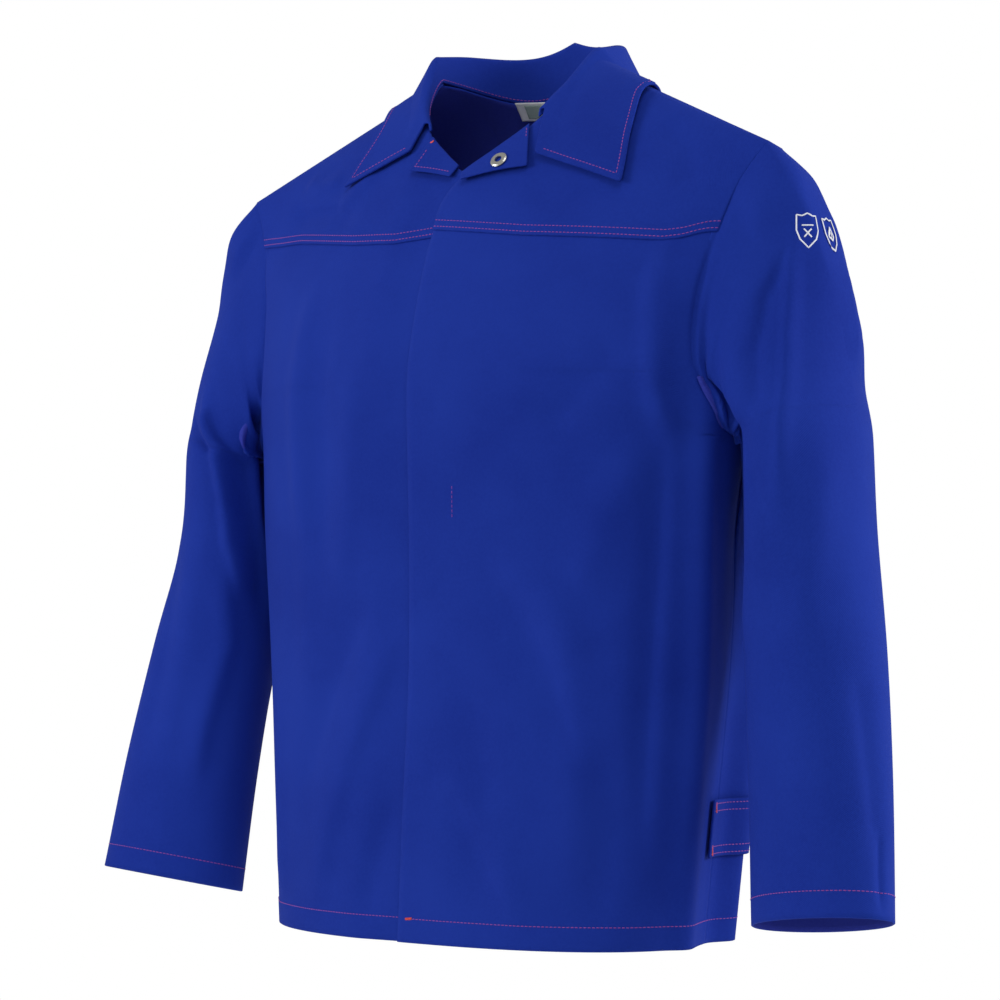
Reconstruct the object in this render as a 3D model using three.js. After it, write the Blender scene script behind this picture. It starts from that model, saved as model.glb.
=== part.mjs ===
// Welding jacket in its worn form, empty. Millimetres, +X the wearer's left, -Y the front, +Z up.
// The origin is the middle of the back neck seam, where the jacket hangs from a hook.
import * as THREE from "three";

// Driving sizes of the body
const BACK_LENGTH = 742;
const HALF_CHEST = 250;
const FRONT_DEPTH = 122;
const BACK_DEPTH = 124;
const MIDDLE_Y = -98;
const HALF_SHOULDER = 270;
const SHOULDER_DROP = 94;
const HALF_NECK = 80;
const NECK_RISE = 4;
const SHOULDER_BACK = 24;
const SHOULDER_FORWARD = 44;
const CAP_FLARE = 16;
const BACK_CROWN = 9;
const ARMPIT_DEPTH = 335;
const YOKE_DEPTH = 141;
const YOKE_SIDE_DEPTH = { left: 163, right: 136 };
const NECK_OPENING_DEPTH = 99;
const OVERLAP = 18;
// Driving sizes of the sleeves
const SLEEVE_DEPTH = 378;
const SLEEVE_OUT = 93;
const SLEEVE_FORWARD = 55;
const SLEEVE_HALF_WIDTH = 64;
const SLEEVE_HALF_THICKNESS = 78;
// Driving sizes of the collar and the lapels
const COLLAR_STAND = 32;
const COLLAR_LEAF = 66;
const COLLAR_ROLL = 4.5;
const LAPEL_WIDTH = 43;
const LAPEL_SPRING = 3;
const LEAF_CLEARANCE = 6;
// Driving sizes of the small pieces
const TAB_HEIGHT = 46;
// the left tab stands a little further off, over the groove of the side fold
const TAB_STANDOFF = { left: 2.2, right: 1.4 };
const TAB_START = 84;
const TAB_END = 128;
const TAB_TOP_DEPTH = 624;
const LABEL_WIDTH = 98;
const LABEL_HEIGHT = 15;
const LABEL_THICKNESS = 0.8;
const LABEL_DEPTH = 5;
const SOCKET_RADIUS = 7.6;
const SOCKET_HOLE = 3.3;
const SOCKET_THICKNESS = 1.6;
const STUD_RADIUS = 7;
const STUD_THICKNESS = 1.9;
const STUD_DEPTHS = [296, 449, 602];
const SOCKET_ALONG = 0.44;
const SOCKET_IN = 0.66;
// Cloth thickness, seam gap and the distance between the middles of two layers
const CLOTH = 2;
const FACING_CLOTH = 1.6;
const COLLAR_CLOTH = 2.4;
const GAP = 0.3;
const ARMHOLE_GAP = 0.6;
const LAYER_STEP = 5.4;
const SLEEVE_CLEARANCE = 5.5;
// Mesh steps
const ACROSS = 11;
const LOW_ROWS = 8;
const ARM_ROWS = 6;
const YOKE_ROWS = 6;

// Body sections from the shoulders to the hem: height as a share of the back length, half widths as
// shares of the half chest, depths as shares of the front and back depth, squareness of the section.
const SECTIONS = table([
  "down left right front back square",
  "0.20 1.03 1.03 0.98 1.02 2.4",
  "0.30 1.01 1.01 0.99 1.08 2.4",
  "0.40 0.98 0.99 1.01 1.06 2.4",
  "0.55 0.94 0.96 0.98 1.00 2.4",
  "0.70 0.91 0.93 0.98 0.96 2.4",
  "0.85 0.86 0.90 1.04 0.92 2.4",
  "1.00 0.81 0.87 1.09 0.88 2.4",
]);
// Where the front and the back start to curve in to the shoulder ridge, and how full that curve is.
const CAP_START = { front: 0.37, back: 0.26 };
const CAP_SQUARE = { front: 1.3, back: 2.2 };

// Armhole from the shoulder seam (0) to the armpit (1): angles round the section in front and behind.
const ARMHOLE = table([
  "fall front back",
  "0.00 68.9 68.9",
  "0.12 64.0 65.0",
  "0.26 62.0 61.0",
  "0.45 61.5 58.0",
  "0.65 62.5 58.0",
  "0.82 66.0 62.0",
  "0.94 75.0 72.0",
  "1.00 90.0 90.0",
]);
// Front edge of the neck opening: share of the way from the yoke seam to the neck point, x as a share
// of the half neck, height as a share of the opening depth (1 at its bottom, 0 at the shoulder).
const OPENING = table([
  "along x down",
  "0.00 -0.22 1.42",
  "0.12 -0.20 1.20",
  "0.25 -0.04 1.00",
  "0.42 0.34 0.77",
  "0.60 0.64 0.57",
  "0.80 0.86 0.34",
  "0.90 0.94 0.17",
  "1.00 1.00 -0.04",
]);
// Sleeve sections from the armhole (0) to the cuff (1). Middles as shares of the armpit depth, the
// outward and forward reach; turn of the section plane in degrees; half sizes as shares.
const SLEEVE = table([
  "along left right forward down tilt yaw pitch wide thick",
  "0.00 0.12 0.15 0.00 -0.318 84 0 0 1.89 0.92",
  "0.08 0.32 0.37 0.02 -0.243 72 0 0 1.50 0.93",
  "0.16 0.40 0.38 0.04 -0.190 62 0 0 1.25 0.94",
  "0.25 0.46 0.42 0.06 -0.127 46 0 1 1.00 0.93",
  "0.33 0.52 0.44 0.09 -0.061 25 0 2 0.83 0.91",
  "0.42 0.57 0.45 0.13 0.000 6 0 3 0.80 0.88",
  "0.55 0.64 0.50 0.25 0.190 3 -3 5 0.83 0.78",
  "0.70 0.78 0.74 0.46 0.450 5 -8 7 0.90 0.67",
  "0.85 0.90 0.90 0.72 0.720 7 -13 9 0.98 0.58",
  "1.00 1.00 1.00 1.00 1.000 8 -17 10 1.04 0.52",
]);
// Collar sections from the middle of the back (0) to the front end (1): outward direction in degrees
// from the side, stand and leaf as shares, lean of the stand, fall of the leaf, forward bow of the leaf.
const COLLAR = table([
  "along face stand lean leaf fall bow",
  "0.00 90 0.98 4 0.84 70 0",
  "0.18 68 0.96 7 0.84 67 0",
  "0.36 40 0.90 10 0.82 60 0",
  "0.50 14 0.62 12 0.80 50 0",
  "0.66 2 0.30 10 0.98 44 3",
  "0.84 -5 0.16 8 1.26 38 13",
  "1.00 -9 0.10 6 1.46 36 25",
]);
// Main folds of the body: side, angle at the top and at the foot, depths between which they run as
// shares of the back length, half width in degrees, height in mm (negative for a groove).
const FOLDS = table([
  "side top foot start end width height",
  "1 66 76 0.28 1.00 5 7",
  "1 92 92 0.42 1.00 8 -9",
  "1 106 104 0.50 1.00 6 6",
  "-1 70 74 0.40 1.00 7 4",
  "-1 92 92 0.45 1.00 9 -6",
  "-1 30 34 0.30 0.80 5 2.5",
  "1 24 40 0.55 0.95 6 2.5",
]);

function table(rows) {
  const names = rows[0].split(" ");
  return rows.slice(1).map((row) => {
    const cells = row.split(" ").map(Number);
    return Object.fromEntries(names.map((name, i) => [name, cells[i]]));
  });
}

// Smooth reading of one column of a table
function read(rows, key, value, column) {
  const last = rows.length - 1;
  const x = Math.min(Math.max(value, rows[0][key]), rows[last][key]);
  let i = 0;
  while (i < last - 1 && x > rows[i + 1][key]) i += 1;
  const slope = (k) => {
    const a = rows[Math.max(k - 1, 0)];
    const b = rows[Math.min(k + 1, last)];
    return (b[column] - a[column]) / (b[key] - a[key]);
  };
  const span = rows[i + 1][key] - rows[i][key];
  const t = (x - rows[i][key]) / span;
  const t2 = t * t;
  const t3 = t2 * t;
  return (2 * t3 - 3 * t2 + 1) * rows[i][column] + (t3 - 2 * t2 + t) * span * slope(i)
    + (3 * t2 - 2 * t3) * rows[i + 1][column] + (t3 - t2) * span * slope(i + 1);
}

const rad = (degrees) => degrees * Math.PI / 180;
const mix = (a, b, t) => a + (b - a) * t;
const smooth = (a, b, x) => {
  const t = Math.min(Math.max((x - a) / (b - a), 0), 1);
  return t * t * (3 - 2 * t);
};
const power = (base, exponent) => Math.sign(base) * Math.pow(Math.abs(base), exponent);
const vec = (x, y, z) => new THREE.Vector3(x, y, z);

// Height of the shoulder ridge at a distance from the middle
function ridge(x) {
  return NECK_RISE - SHOULDER_DROP * (Math.abs(x) - HALF_NECK) / (HALF_SHOULDER - HALF_NECK);
}

// The body's surface. face is "front" or "back"; angle runs from 0 at the middle to 90 at the side;
// level runs from 0 at the hem over 1 at the foot of the shoulder curve to 2 on the ridge.
function body(side, face, angle, level) {
  const start = CAP_START[face];
  const down = level < 1 ? mix(1, start, level) : start;
  const turn = rad(90 * Math.min(Math.max(level - 1, 0), 1));
  const square = read(SECTIONS, "down", down, "square");
  const column = side > 0 ? "left" : "right";
  const rise = power(Math.sin(turn), 2 / CAP_SQUARE[face]);
  const inset = power(Math.cos(turn), 2 / CAP_SQUARE[face]);
  const flat = HALF_CHEST * read(SECTIONS, "down", down, column);
  const wide = mix(flat, HALF_SHOULDER + CAP_FLARE, Math.pow(rise, 1.5));
  const depth = face === "front" ? -FRONT_DEPTH : BACK_DEPTH;
  const reach = depth * read(SECTIONS, "down", down, face);
  const x = wide * power(Math.sin(rad(angle)), 2 / square);
  const share = x / HALF_SHOULDER;
  const middle = MIDDLE_Y + rise * rise * (SHOULDER_BACK - SHOULDER_FORWARD * share);
  const y = middle + reach * power(Math.cos(rad(angle)), 2 / square) * inset;
  const foot = -BACK_LENGTH * start;
  let z = -BACK_LENGTH * down + (ridge(x) - foot) * rise;
  if (face === "back") z += BACK_CROWN * share * Math.pow(Math.sin(2 * turn), 2) * smooth(0.5, 0.9, rise);
  const point = vec(side * x, y, z);
  const around = face === "front" ? angle : 180 - angle;
  const out = foldHeight(side, around, -z / BACK_LENGTH);
  point.x += side * Math.sin(rad(around)) * out;
  point.y -= Math.cos(rad(around)) * out;
  return point;
}

function foldHeight(side, around, down) {
  let sum = 0;
  for (const fold of FOLDS) {
    if (fold.side !== side) continue;
    const t = (down - fold.start) / (fold.end - fold.start);
    const fade = smooth(0, 0.25, t) * (fold.end >= 1 ? 1 : 1 - smooth(0.75, 1, t));
    const off = (around - mix(fold.top, fold.foot, Math.min(Math.max(t, 0), 1))) / fold.width;
    sum += fold.height * fade * Math.exp(-off * off);
  }
  return sum;
}

// Angle and level of the surface point with a given x and z
function place(face, x, z) {
  const foot = -BACK_LENGTH * CAP_START[face];
  const rise = Math.min(Math.max((z - foot) / (ridge(x) - foot), 0), 1);
  const turn = Math.asin(Math.pow(rise, CAP_SQUARE[face] / 2)) / rad(90);
  const level = z < foot ? 1 - (foot - z) / (BACK_LENGTH + foot) : 1 + turn;
  const down = Math.max(-z / BACK_LENGTH, CAP_START[face]);
  const flat = HALF_CHEST * read(SECTIONS, "down", down, "left");
  const wide = mix(flat, HALF_SHOULDER + CAP_FLARE, Math.pow(rise, 1.5));
  const square = read(SECTIONS, "down", down, "square");
  const angle = Math.asin(power(Math.min(Math.abs(x) / wide, 1), square / 2)) / rad(1);
  return { angle: Math.sign(x) * angle, level };
}

// Level of the surface at a given height for a given angle
function levelAt(side, face, angle, z) {
  let low = 0;
  let high = 2;
  for (let i = 0; i < 40; i += 1) {
    const half = (low + high) / 2;
    if (body(side, face, angle, half).z < z) low = half;
    else high = half;
  }
  return (low + high) / 2;
}

// A point of the armhole, fall 0 at the shoulder seam and 1 at the armpit
function armhole(side, face, fall) {
  const angle = read(ARMHOLE, "fall", fall, face);
  const top = body(side, face, ARMHOLE[0][face], 2).z;
  const z = mix(top, -ARMPIT_DEPTH, fall);
  const level = fall <= 0 ? 2 : levelAt(side, face, angle, z);
  return { angle, level };
}

// A point of the front edge, along 0 at the yoke seam, 1 at the neck point of the shoulder seam
function opening(along) {
  const x = HALF_NECK * read(OPENING, "along", along, "x");
  const z = -NECK_OPENING_DEPTH * read(OPENING, "along", along, "down");
  return { x, z };
}

// Grid of surface points between an inner and an outer border; rows climb, columns run outwards
function grid(rows, columns, inner, outer, pointAt) {
  const out = [];
  for (let j = 0; j <= rows; j += 1) {
    const a = inner(j / rows, j);
    const b = outer(j / rows, j);
    const line = [];
    for (let i = 0; i <= columns; i += 1) {
      const u = i / columns;
      line.push(pointAt(mix(a.angle, b.angle, u), mix(a.level, b.level, u), u, j / rows));
    }
    out.push(line);
  }
  return out;
}

// Height shares of the rows between the hem and the shoulder, the same in front and behind
const armRows = ARM_ROWS + YOKE_ROWS;
const wordOf = (side) => (side > 0 ? "left" : "right");
const fallOf = (side, face, j) => {
  // row ARM_ROWS lies on the yoke seam, so that the front and the back share their armhole points
  const top = body(side, face, ARMHOLE[0][face], 2).z;
  const seam = (top + YOKE_SIDE_DEPTH[wordOf(side)]) / (top + ARMPIT_DEPTH);
  return j <= ARM_ROWS ? mix(1, seam, easeLow(j / ARM_ROWS)) : mix(seam, 0, (j - ARM_ROWS) / YOKE_ROWS);
};
// Rows stand closer together at the armpit, where the armhole turns
const easeLow = (t) => Math.pow(t, 2);

// The wearer's left front lies over the right one, which steps back under it
function frontPoint(side, angle, level, over) {
  const signed = side > 0 || angle >= 0 ? 1 : -1;
  const point = angle >= 0 ? body(side, "front", angle, level) : body(-side, "front", -angle, level);
  if (over) return point;
  const x = point.x;
  const sink = LAYER_STEP * (1 - smooth(OVERLAP * 1.2, OVERLAP * 4, -x * signed));
  point.y += side < 0 ? sink * 0.98 : 0;
  return point;
}

// Front edge x of a side at a height: the left front passes the middle, the right front lies under it
function frontInner(side, x, z) {
  const spot = place("front", side > 0 ? x : -x, z);
  return { angle: spot.angle, level: spot.level };
}

function frontGrid(side) {
  const edge = side > 0 ? -OVERLAP : OVERLAP;
  const rows = LOW_ROWS + ARM_ROWS;
  return grid(rows, ACROSS, (t, j) => {
    const z = j <= LOW_ROWS ? mix(-BACK_LENGTH, -ARMPIT_DEPTH, j / LOW_ROWS)
      : mix(-ARMPIT_DEPTH, -YOKE_DEPTH, (j - LOW_ROWS) / ARM_ROWS);
    return frontInner(side, j === rows && side > 0 ? HALF_NECK * OPENING[0].x : edge, z);
  }, (t, j) => {
    if (j > LOW_ROWS) return armhole(side, "front", fallOf(side, "front", j - LOW_ROWS));
    const z = mix(-BACK_LENGTH, -ARMPIT_DEPTH, j / LOW_ROWS);
    return { angle: 90, level: levelAt(side, "front", 90, z) };
  }, (angle, level) => frontPoint(side, angle, level, side > 0));
}

function yokeGrid(side) {
  return grid(YOKE_ROWS, ACROSS, (t, j) => {
    const spot = opening(t);
    let x = spot.x;
    if (side < 0) x = mix(-OVERLAP, spot.x, smooth(0, 0.42, t));
    if (j === YOKE_ROWS) return { angle: place("front", HALF_NECK, NECK_RISE).angle, level: 2 };
    return frontInner(side, side > 0 ? x : -x, spot.z);
  }, (t, j) => {
    const fall = fallOf(side, "front", ARM_ROWS + j);
    return armhole(side, "front", fall);
  }, (angle, level) => frontPoint(side, angle, level, side > 0));
}

function backGrid(side) {
  const rows = LOW_ROWS + armRows;
  const neck = place("back", HALF_NECK, NECK_RISE).angle;
  const turnRow = rows - 4;
  return grid(rows, ACROSS, (t, j) => {
    if (j <= LOW_ROWS) {
      const z = mix(-BACK_LENGTH, -ARMPIT_DEPTH, j / LOW_ROWS);
      return { angle: 0, level: levelAt(side, "back", 0, z) };
    }
    if (j <= turnRow) {
      const z = mix(-ARMPIT_DEPTH, 0, (j - LOW_ROWS) / (turnRow - LOW_ROWS));
      return { angle: 0, level: levelAt(side, "back", 0, z) };
    }
    const t2 = (j - turnRow) / (rows - turnRow);
    const angle = neck * Math.sin(rad(90 * t2));
    const base = levelAt(side, "back", 0, 0);
    return { angle, level: mix(base, 2, 1 - Math.cos(rad(90 * t2))) };
  }, (t, j) => {
    if (j > LOW_ROWS) return armhole(side, "back", fallOf(side, "back", j - LOW_ROWS));
    const z = mix(-BACK_LENGTH, -ARMPIT_DEPTH, j / LOW_ROWS);
    return { angle: 90, level: levelAt(side, "back", 90, z) };
  }, (angle, level) => body(side, "back", angle, level));
}

// Sleeve rings start on the armhole and run down to the cuff
function sleeveGrid(side) {
  const start = [];
  const turns = [];
  for (let j = armRows; j >= 0; j -= 1) {
    const spot = armhole(side, "front", fallOf(side, "front", j));
    start.push(body(side, "front", spot.angle, spot.level));
    turns.push(180 * (1 - j / armRows));
  }
  for (let j = 1; j < armRows; j += 1) {
    const spot = armhole(side, "back", fallOf(side, "back", j));
    start.push(body(side, "back", spot.angle, spot.level));
    turns.push(180 + 180 * j / armRows);
  }
  const pit = body(side, "front", 90, levelAt(side, "front", 90, -ARMPIT_DEPTH));
  const stops = [0, 0.05, 0.11, 0.18, 0.26, 0.34, 0.43, 0.53, 0.64, 0.76, 0.88, 1];
  const ring = (along, turn) => {
    const get = (column) => read(SLEEVE, "along", along, column);
    const fallen = (get("down") < 0 ? ARMPIT_DEPTH * 1.12 : SLEEVE_DEPTH) * get("down");
    const c = vec(Math.abs(pit.x) + SLEEVE_OUT * get(wordOf(side)), pit.y - SLEEVE_FORWARD * get("forward"),
      -ARMPIT_DEPTH - fallen);
    const u = vec(Math.cos(rad(get("tilt"))), 0, Math.sin(rad(get("tilt"))));
    const v = vec(0, -Math.cos(rad(get("pitch"))), Math.sin(rad(get("pitch"))));
    const axis = vec(0, 0, 1);
    u.applyAxisAngle(axis, rad(get("yaw")));
    v.applyAxisAngle(axis, rad(get("yaw")));
    const p = c.addScaledVector(u, SLEEVE_HALF_WIDTH * get("wide") * Math.cos(rad(turn)));
    p.addScaledVector(v, SLEEVE_HALF_THICKNESS * get("thick") * Math.sin(rad(turn)));
    p.x *= side;
    return p;
  };
  return stops.map((along, k) => {
    const keep = 1 - smooth(0, 0.42, along);
    const line = start.map((point, i) => {
      const off = point.clone().sub(ring(0, turns[i])).multiplyScalar(keep);
      return k === 0 ? point.clone() : besideBody(side, ring(along, turns[i]).add(off));
    });
    line.push(line[0].clone());
    return line;
  });
}

// Keeps a sleeve point outside the body's side at its own height
function besideBody(side, point) {
  const face = point.y < MIDDLE_Y ? "front" : "back";
  const z = Math.min(point.z, -ARMPIT_DEPTH);
  const level = 1 - (-z / BACK_LENGTH - CAP_START[face]) / (1 - CAP_START[face]);
  let low = 0;
  let high = 90;
  for (let i = 0; i < 24; i += 1) {
    const half = (low + high) / 2;
    const y = body(side, face, half, level).y;
    if (face === "front" ? y < point.y : y > point.y) low = half;
    else high = half;
  }
  const wall = Math.abs(body(side, face, low, level).x) + SLEEVE_CLEARANCE;
  // above the armpit the body is cut away, so the push fades out there
  const amount = smooth(-ARMPIT_DEPTH * 0.82, -ARMPIT_DEPTH * 0.985, point.z);
  const push = Math.max(wall - side * point.x, 0) * amount;
  return vec(point.x + side * push, point.y, point.z);
}

// The neck seam from the middle of the back to the collar's front end
function neckSeam(side, along) {
  const turn = 0.5;
  if (along <= turn) {
    const t = along / turn;
    const neck = place("back", HALF_NECK, NECK_RISE).angle;
    const base = levelAt(side, "back", 0, 0);
    const level = mix(base, 2, 1 - Math.cos(rad(90 * t)));
    return body(side, "back", neck * Math.sin(rad(90 * t)), level);
  }
  const t = (along - turn) / (1 - turn);
  const spot = opening(mix(1, 0.66, t));
  const at = t <= 0 ? { angle: place("front", HALF_NECK, NECK_RISE).angle, level: 2 }
    : place("front", spot.x, spot.z);
  return body(side, "front", at.angle, at.level);
}

// Height of the shoulder curve at a given x and y, found by halving
function heightAt(face, x, y) {
  let low = -BACK_LENGTH * CAP_START[face];
  let high = ridge(x);
  for (let i = 0; i < 24; i += 1) {
    const half = (low + high) / 2;
    const spot = place(face, Math.abs(x), half);
    const at = body(1, face, spot.angle, spot.level).y;
    if (face === "front" ? at < y : at > y) low = half;
    else high = half;
  }
  return (low + high) / 2;
}

// Moves a point out along the body's normal until it stands a clearance off
function keepOff(point, clearance) {
  const p = point.clone();
  for (let i = 0; i < 3; i += 1) {
    const share = Math.abs(p.x) / HALF_SHOULDER;
    const face = p.y < MIDDLE_Y + SHOULDER_BACK - SHOULDER_FORWARD * share ? "front" : "back";
    const z = heightAt(face, p.x, p.y);
    const gx = (heightAt(face, p.x + 2, p.y) - heightAt(face, p.x - 2, p.y)) / 4;
    const gy = (heightAt(face, p.x, p.y + 2) - heightAt(face, p.x, p.y - 2)) / 4;
    const size = Math.hypot(1, gx, gy);
    const off = (p.z - z) / size;
    if (off >= clearance) return p;
    p.add(vec(-gx, -gy, 1).multiplyScalar((clearance - off) / size));
  }
  return p;
}

function collarGrid() {
  const half = 12;
  const steps = [];
  for (let i = -half; i <= half; i += 1) steps.push(i / half);
  return steps.map((signed) => {
    const side = signed < 0 ? -1 : 1;
    const along = Math.abs(signed);
    const get = (column) => read(COLLAR, "along", along, column);
    const seam = neckSeam(side, along);
    const face = rad(get("face"));
    const out = vec(side * Math.cos(face), Math.sin(face), 0);
    const lean = rad(get("lean"));
    const fall = rad(get("fall"));
    const line = [];
    const start = seam.clone();
    start.z += CLOTH;
    const stand = COLLAR_STAND * get("stand");
    const climb = out.clone().multiplyScalar(Math.sin(lean)).add(vec(0, 0, Math.cos(lean)));
    for (let k = 0; k <= 2; k += 1) line.push(start.clone().addScaledVector(climb, stand * k / 2));
    // the roll turns the cloth from the stand's direction to the leaf's
    const top = line[2];
    const from = Math.PI / 2 - lean;
    const sweep = from + fall;
    let spot = top.clone();
    const arcs = 4;
    for (let k = 1; k <= arcs; k += 1) {
      const middle = from - sweep * (k - 0.5) / arcs;
      const step = 2 * COLLAR_ROLL * Math.sin(sweep / arcs / 2);
      spot = spot.clone().addScaledVector(out, Math.cos(middle) * step);
      spot.z += Math.sin(middle) * step;
      line.push(spot);
    }
    const leaf = COLLAR_LEAF * get("leaf");
    const rows = 5;
    for (let k = 1; k <= rows; k += 1) {
      const t = k / rows;
      const p = spot.clone().addScaledVector(out, Math.cos(fall) * leaf * t);
      p.z -= Math.sin(fall) * leaf * t;
      // the bow brings the front end down to the notch over the lapel
      const bow = get("bow") * 6.75 * t * (1 - t) * (1 - t);
      p.x -= side * bow * 0.35;
      p.y -= bow * 0.66;
      p.z -= bow;
      line.push(keepOff(p, LEAF_CLEARANCE));
    }
    return line;
  });
}

// Point and outward normal of the front at a signed x and a z
function frontFrame(side, x, z) {
  const at = (px, pz) => {
    const spot = place("front", side * px, pz);
    return frontPoint(side, spot.angle, spot.level, side > 0);
  };
  const dx = at(x + 2, z).sub(at(x - 2, z));
  const dz = at(x, z + 2).sub(at(x, z - 2));
  return { point: at(x, z), normal: dx.cross(dz).normalize() };
}

// Lapels turned out beside the opening; each lies on its yoke and springs off it at its edge
function lapelPoint(side, along, u) {
  const spot = opening(along);
  const width = LAPEL_WIDTH * mix(0.15, 1, (along - 0.25) / 0.35);
  const frame = frontFrame(side, side * (spot.x + width * u * 0.3), spot.z - width * u * 0.95);
  return frame.point.addScaledVector(frame.normal, lapelLift(u));
}

function lapelGrid(side) {
  const steps = 8;
  const first = side > 0 ? 0.27 : 0.33;
  const out = [];
  for (let j = 0; j <= steps; j += 1) {
    const line = [];
    for (let k = 0; k <= 4; k += 1) line.push(lapelPoint(side, mix(first, 0.6, j / steps), k / 4));
    out.push(line);
  }
  return out;
}

const lapelLift = (u) => (CLOTH + FACING_CLOTH) / 2 + 0.8 + LAPEL_SPRING * u;

// Surface mesh from grids whose shared border points fall together
function weave(grids) {
  const points = [];
  const keys = new Map();
  const index = (p) => {
    const key = [p.x, p.y, p.z].map((c) => Math.round(c * 200)).join();
    if (!keys.has(key)) {
      keys.set(key, points.length);
      points.push(p.clone());
    }
    return keys.get(key);
  };
  const triangles = [];
  for (const { rows, flip } of grids) {
    for (let j = 0; j + 1 < rows.length; j += 1) {
      for (let i = 0; i + 1 < rows[j].length; i += 1) {
        const a = index(rows[j][i]);
        const b = index(rows[j][i + 1]);
        const c = index(rows[j + 1][i + 1]);
        const d = index(rows[j + 1][i]);
        const near = points[a].distanceTo(points[c]) <= points[b].distanceTo(points[d]);
        const pair = near ? [[a, b, c], [a, c, d]] : [[a, b, d], [b, c, d]];
        for (const tri of pair) {
          if (tri[0] === tri[1] || tri[1] === tri[2] || tri[2] === tri[0]) continue;
          triangles.push(flip ? [tri[0], tri[2], tri[1]] : tri);
        }
      }
    }
  }
  return { points, triangles };
}

function surfaceNormals(surface) {
  const normals = surface.points.map(() => vec(0, 0, 0));
  for (const [a, b, c] of surface.triangles) {
    const ab = surface.points[b].clone().sub(surface.points[a]);
    const ac = surface.points[c].clone().sub(surface.points[a]);
    const n = ab.cross(ac);
    for (const i of [a, b, c]) normals[i].add(n);
  }
  return normals.map((n) => n.normalize());
}

// Directed border edges of a surface
function borderEdges(triangles) {
  const seen = new Set(triangles.flatMap(([a, b, c]) => [`${a},${b}`, `${b},${c}`, `${c},${a}`]));
  return [...seen].map((key) => key.split(",").map(Number)).filter(([a, b]) => !seen.has(`${b},${a}`));
}

// Closed sheet of one thickness round a surface. Borders move in by half the seam gap.
function thicken(surface, normals, thickness, gap) {
  const borders = borderEdges(surface.triangles);
  const inward = new Map();
  for (const [a, b] of borders) {
    const along = surface.points[b].clone().sub(surface.points[a]).normalize();
    for (const i of [a, b]) {
      const side = normals[i].clone().cross(along);
      inward.set(i, (inward.get(i) || vec(0, 0, 0)).add(side));
    }
  }
  const middle = surface.points.map((p, i) => {
    if (!inward.has(i)) return p;
    return p.clone().addScaledVector(inward.get(i).normalize(), gap / 2);
  });
  const count = middle.length;
  const outer = middle.map((p, i) => p.clone().addScaledVector(normals[i], thickness / 2));
  const inner = middle.map((p, i) => p.clone().addScaledVector(normals[i], -thickness / 2));
  const triangles = surface.triangles.map((tri) => [...tri]);
  for (const [a, b, c] of surface.triangles) triangles.push([a + count, c + count, b + count]);
  for (const [a, b] of borders) {
    triangles.push([b, a, a + count], [b, a + count, b + count]);
  }
  return { points: [...outer, ...inner], triangles };
}

// Pieces that meet in a seam share its points and one direction of thickness there
function joinSeams(sheets) {
  const ends = [];
  for (const one of sheets) {
    for (const i of new Set(borderEdges(one.surface.triangles).flat())) ends.push({ one, i, done: false });
  }
  for (const end of ends) {
    if (end.done) continue;
    const spot = end.one.surface.points[end.i];
    const group = ends.filter((other) => other.one.surface.points[other.i].distanceTo(spot) < 0.5);
    const normal = vec(0, 0, 0);
    for (const { one, i } of group) normal.add(one.normals[i]);
    normal.normalize();
    for (const other of group) {
      other.one.normals[other.i] = normal.clone();
      other.one.surface.points[other.i] = spot.clone();
      other.done = true;
    }
  }
}

function solidOf(one) {
  const gap = one.name.startsWith("sleeve") ? 2 * ARMHOLE_GAP - GAP : GAP;
  return geometryOf(thicken(one.surface, one.normals, one.thickness, gap));
}

function geometryOf(solid) {
  const geometry = new THREE.BufferGeometry();
  const flat = solid.triangles.flatMap((tri) => tri.flatMap((i) => solid.points[i].toArray()));
  geometry.setAttribute("position", new THREE.Float32BufferAttribute(flat, 3));
  geometry.computeVertexNormals();
  return geometry;
}

const COTTON = { color: 0x24387f, roughness: 0.85, metalness: 0 };
const COTTON_INSIDE = { color: 0x1c2c66, roughness: 0.9, metalness: 0 };
const NICKEL = { color: 0xc9c6bd, roughness: 0.3, metalness: 0.9 };
const LABEL = { color: 0xb9c7c4, roughness: 0.8, metalness: 0 };

function add(group, name, geometry, look) {
  const mesh = new THREE.Mesh(geometry, new THREE.MeshStandardMaterial({ ...look, name }));
  mesh.name = name;
  group.add(mesh);
}

// Ring or disc lying on a frame, its middle a lift off the frame's point
function discAt(frame, lift, radius, thickness, hole) {
  const outline = [[hole, -0.5], [radius * 0.9, -0.5], [radius, 0], [radius * 0.85, 0.5], [hole, 0.5], [hole, -0.5]];
  const points = outline.map(([r, h]) => new THREE.Vector2(r, h * thickness));
  const geometry = hole > 0 ? new THREE.LatheGeometry(points, 24)
    : new THREE.CylinderGeometry(radius, radius, thickness, 20);
  geometry.applyQuaternion(new THREE.Quaternion().setFromUnitVectors(vec(0, 1, 0), frame.normal));
  const spot = frame.point.clone().addScaledVector(frame.normal, lift);
  geometry.translate(spot.x, spot.y, spot.z);
  return geometry;
}

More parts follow.
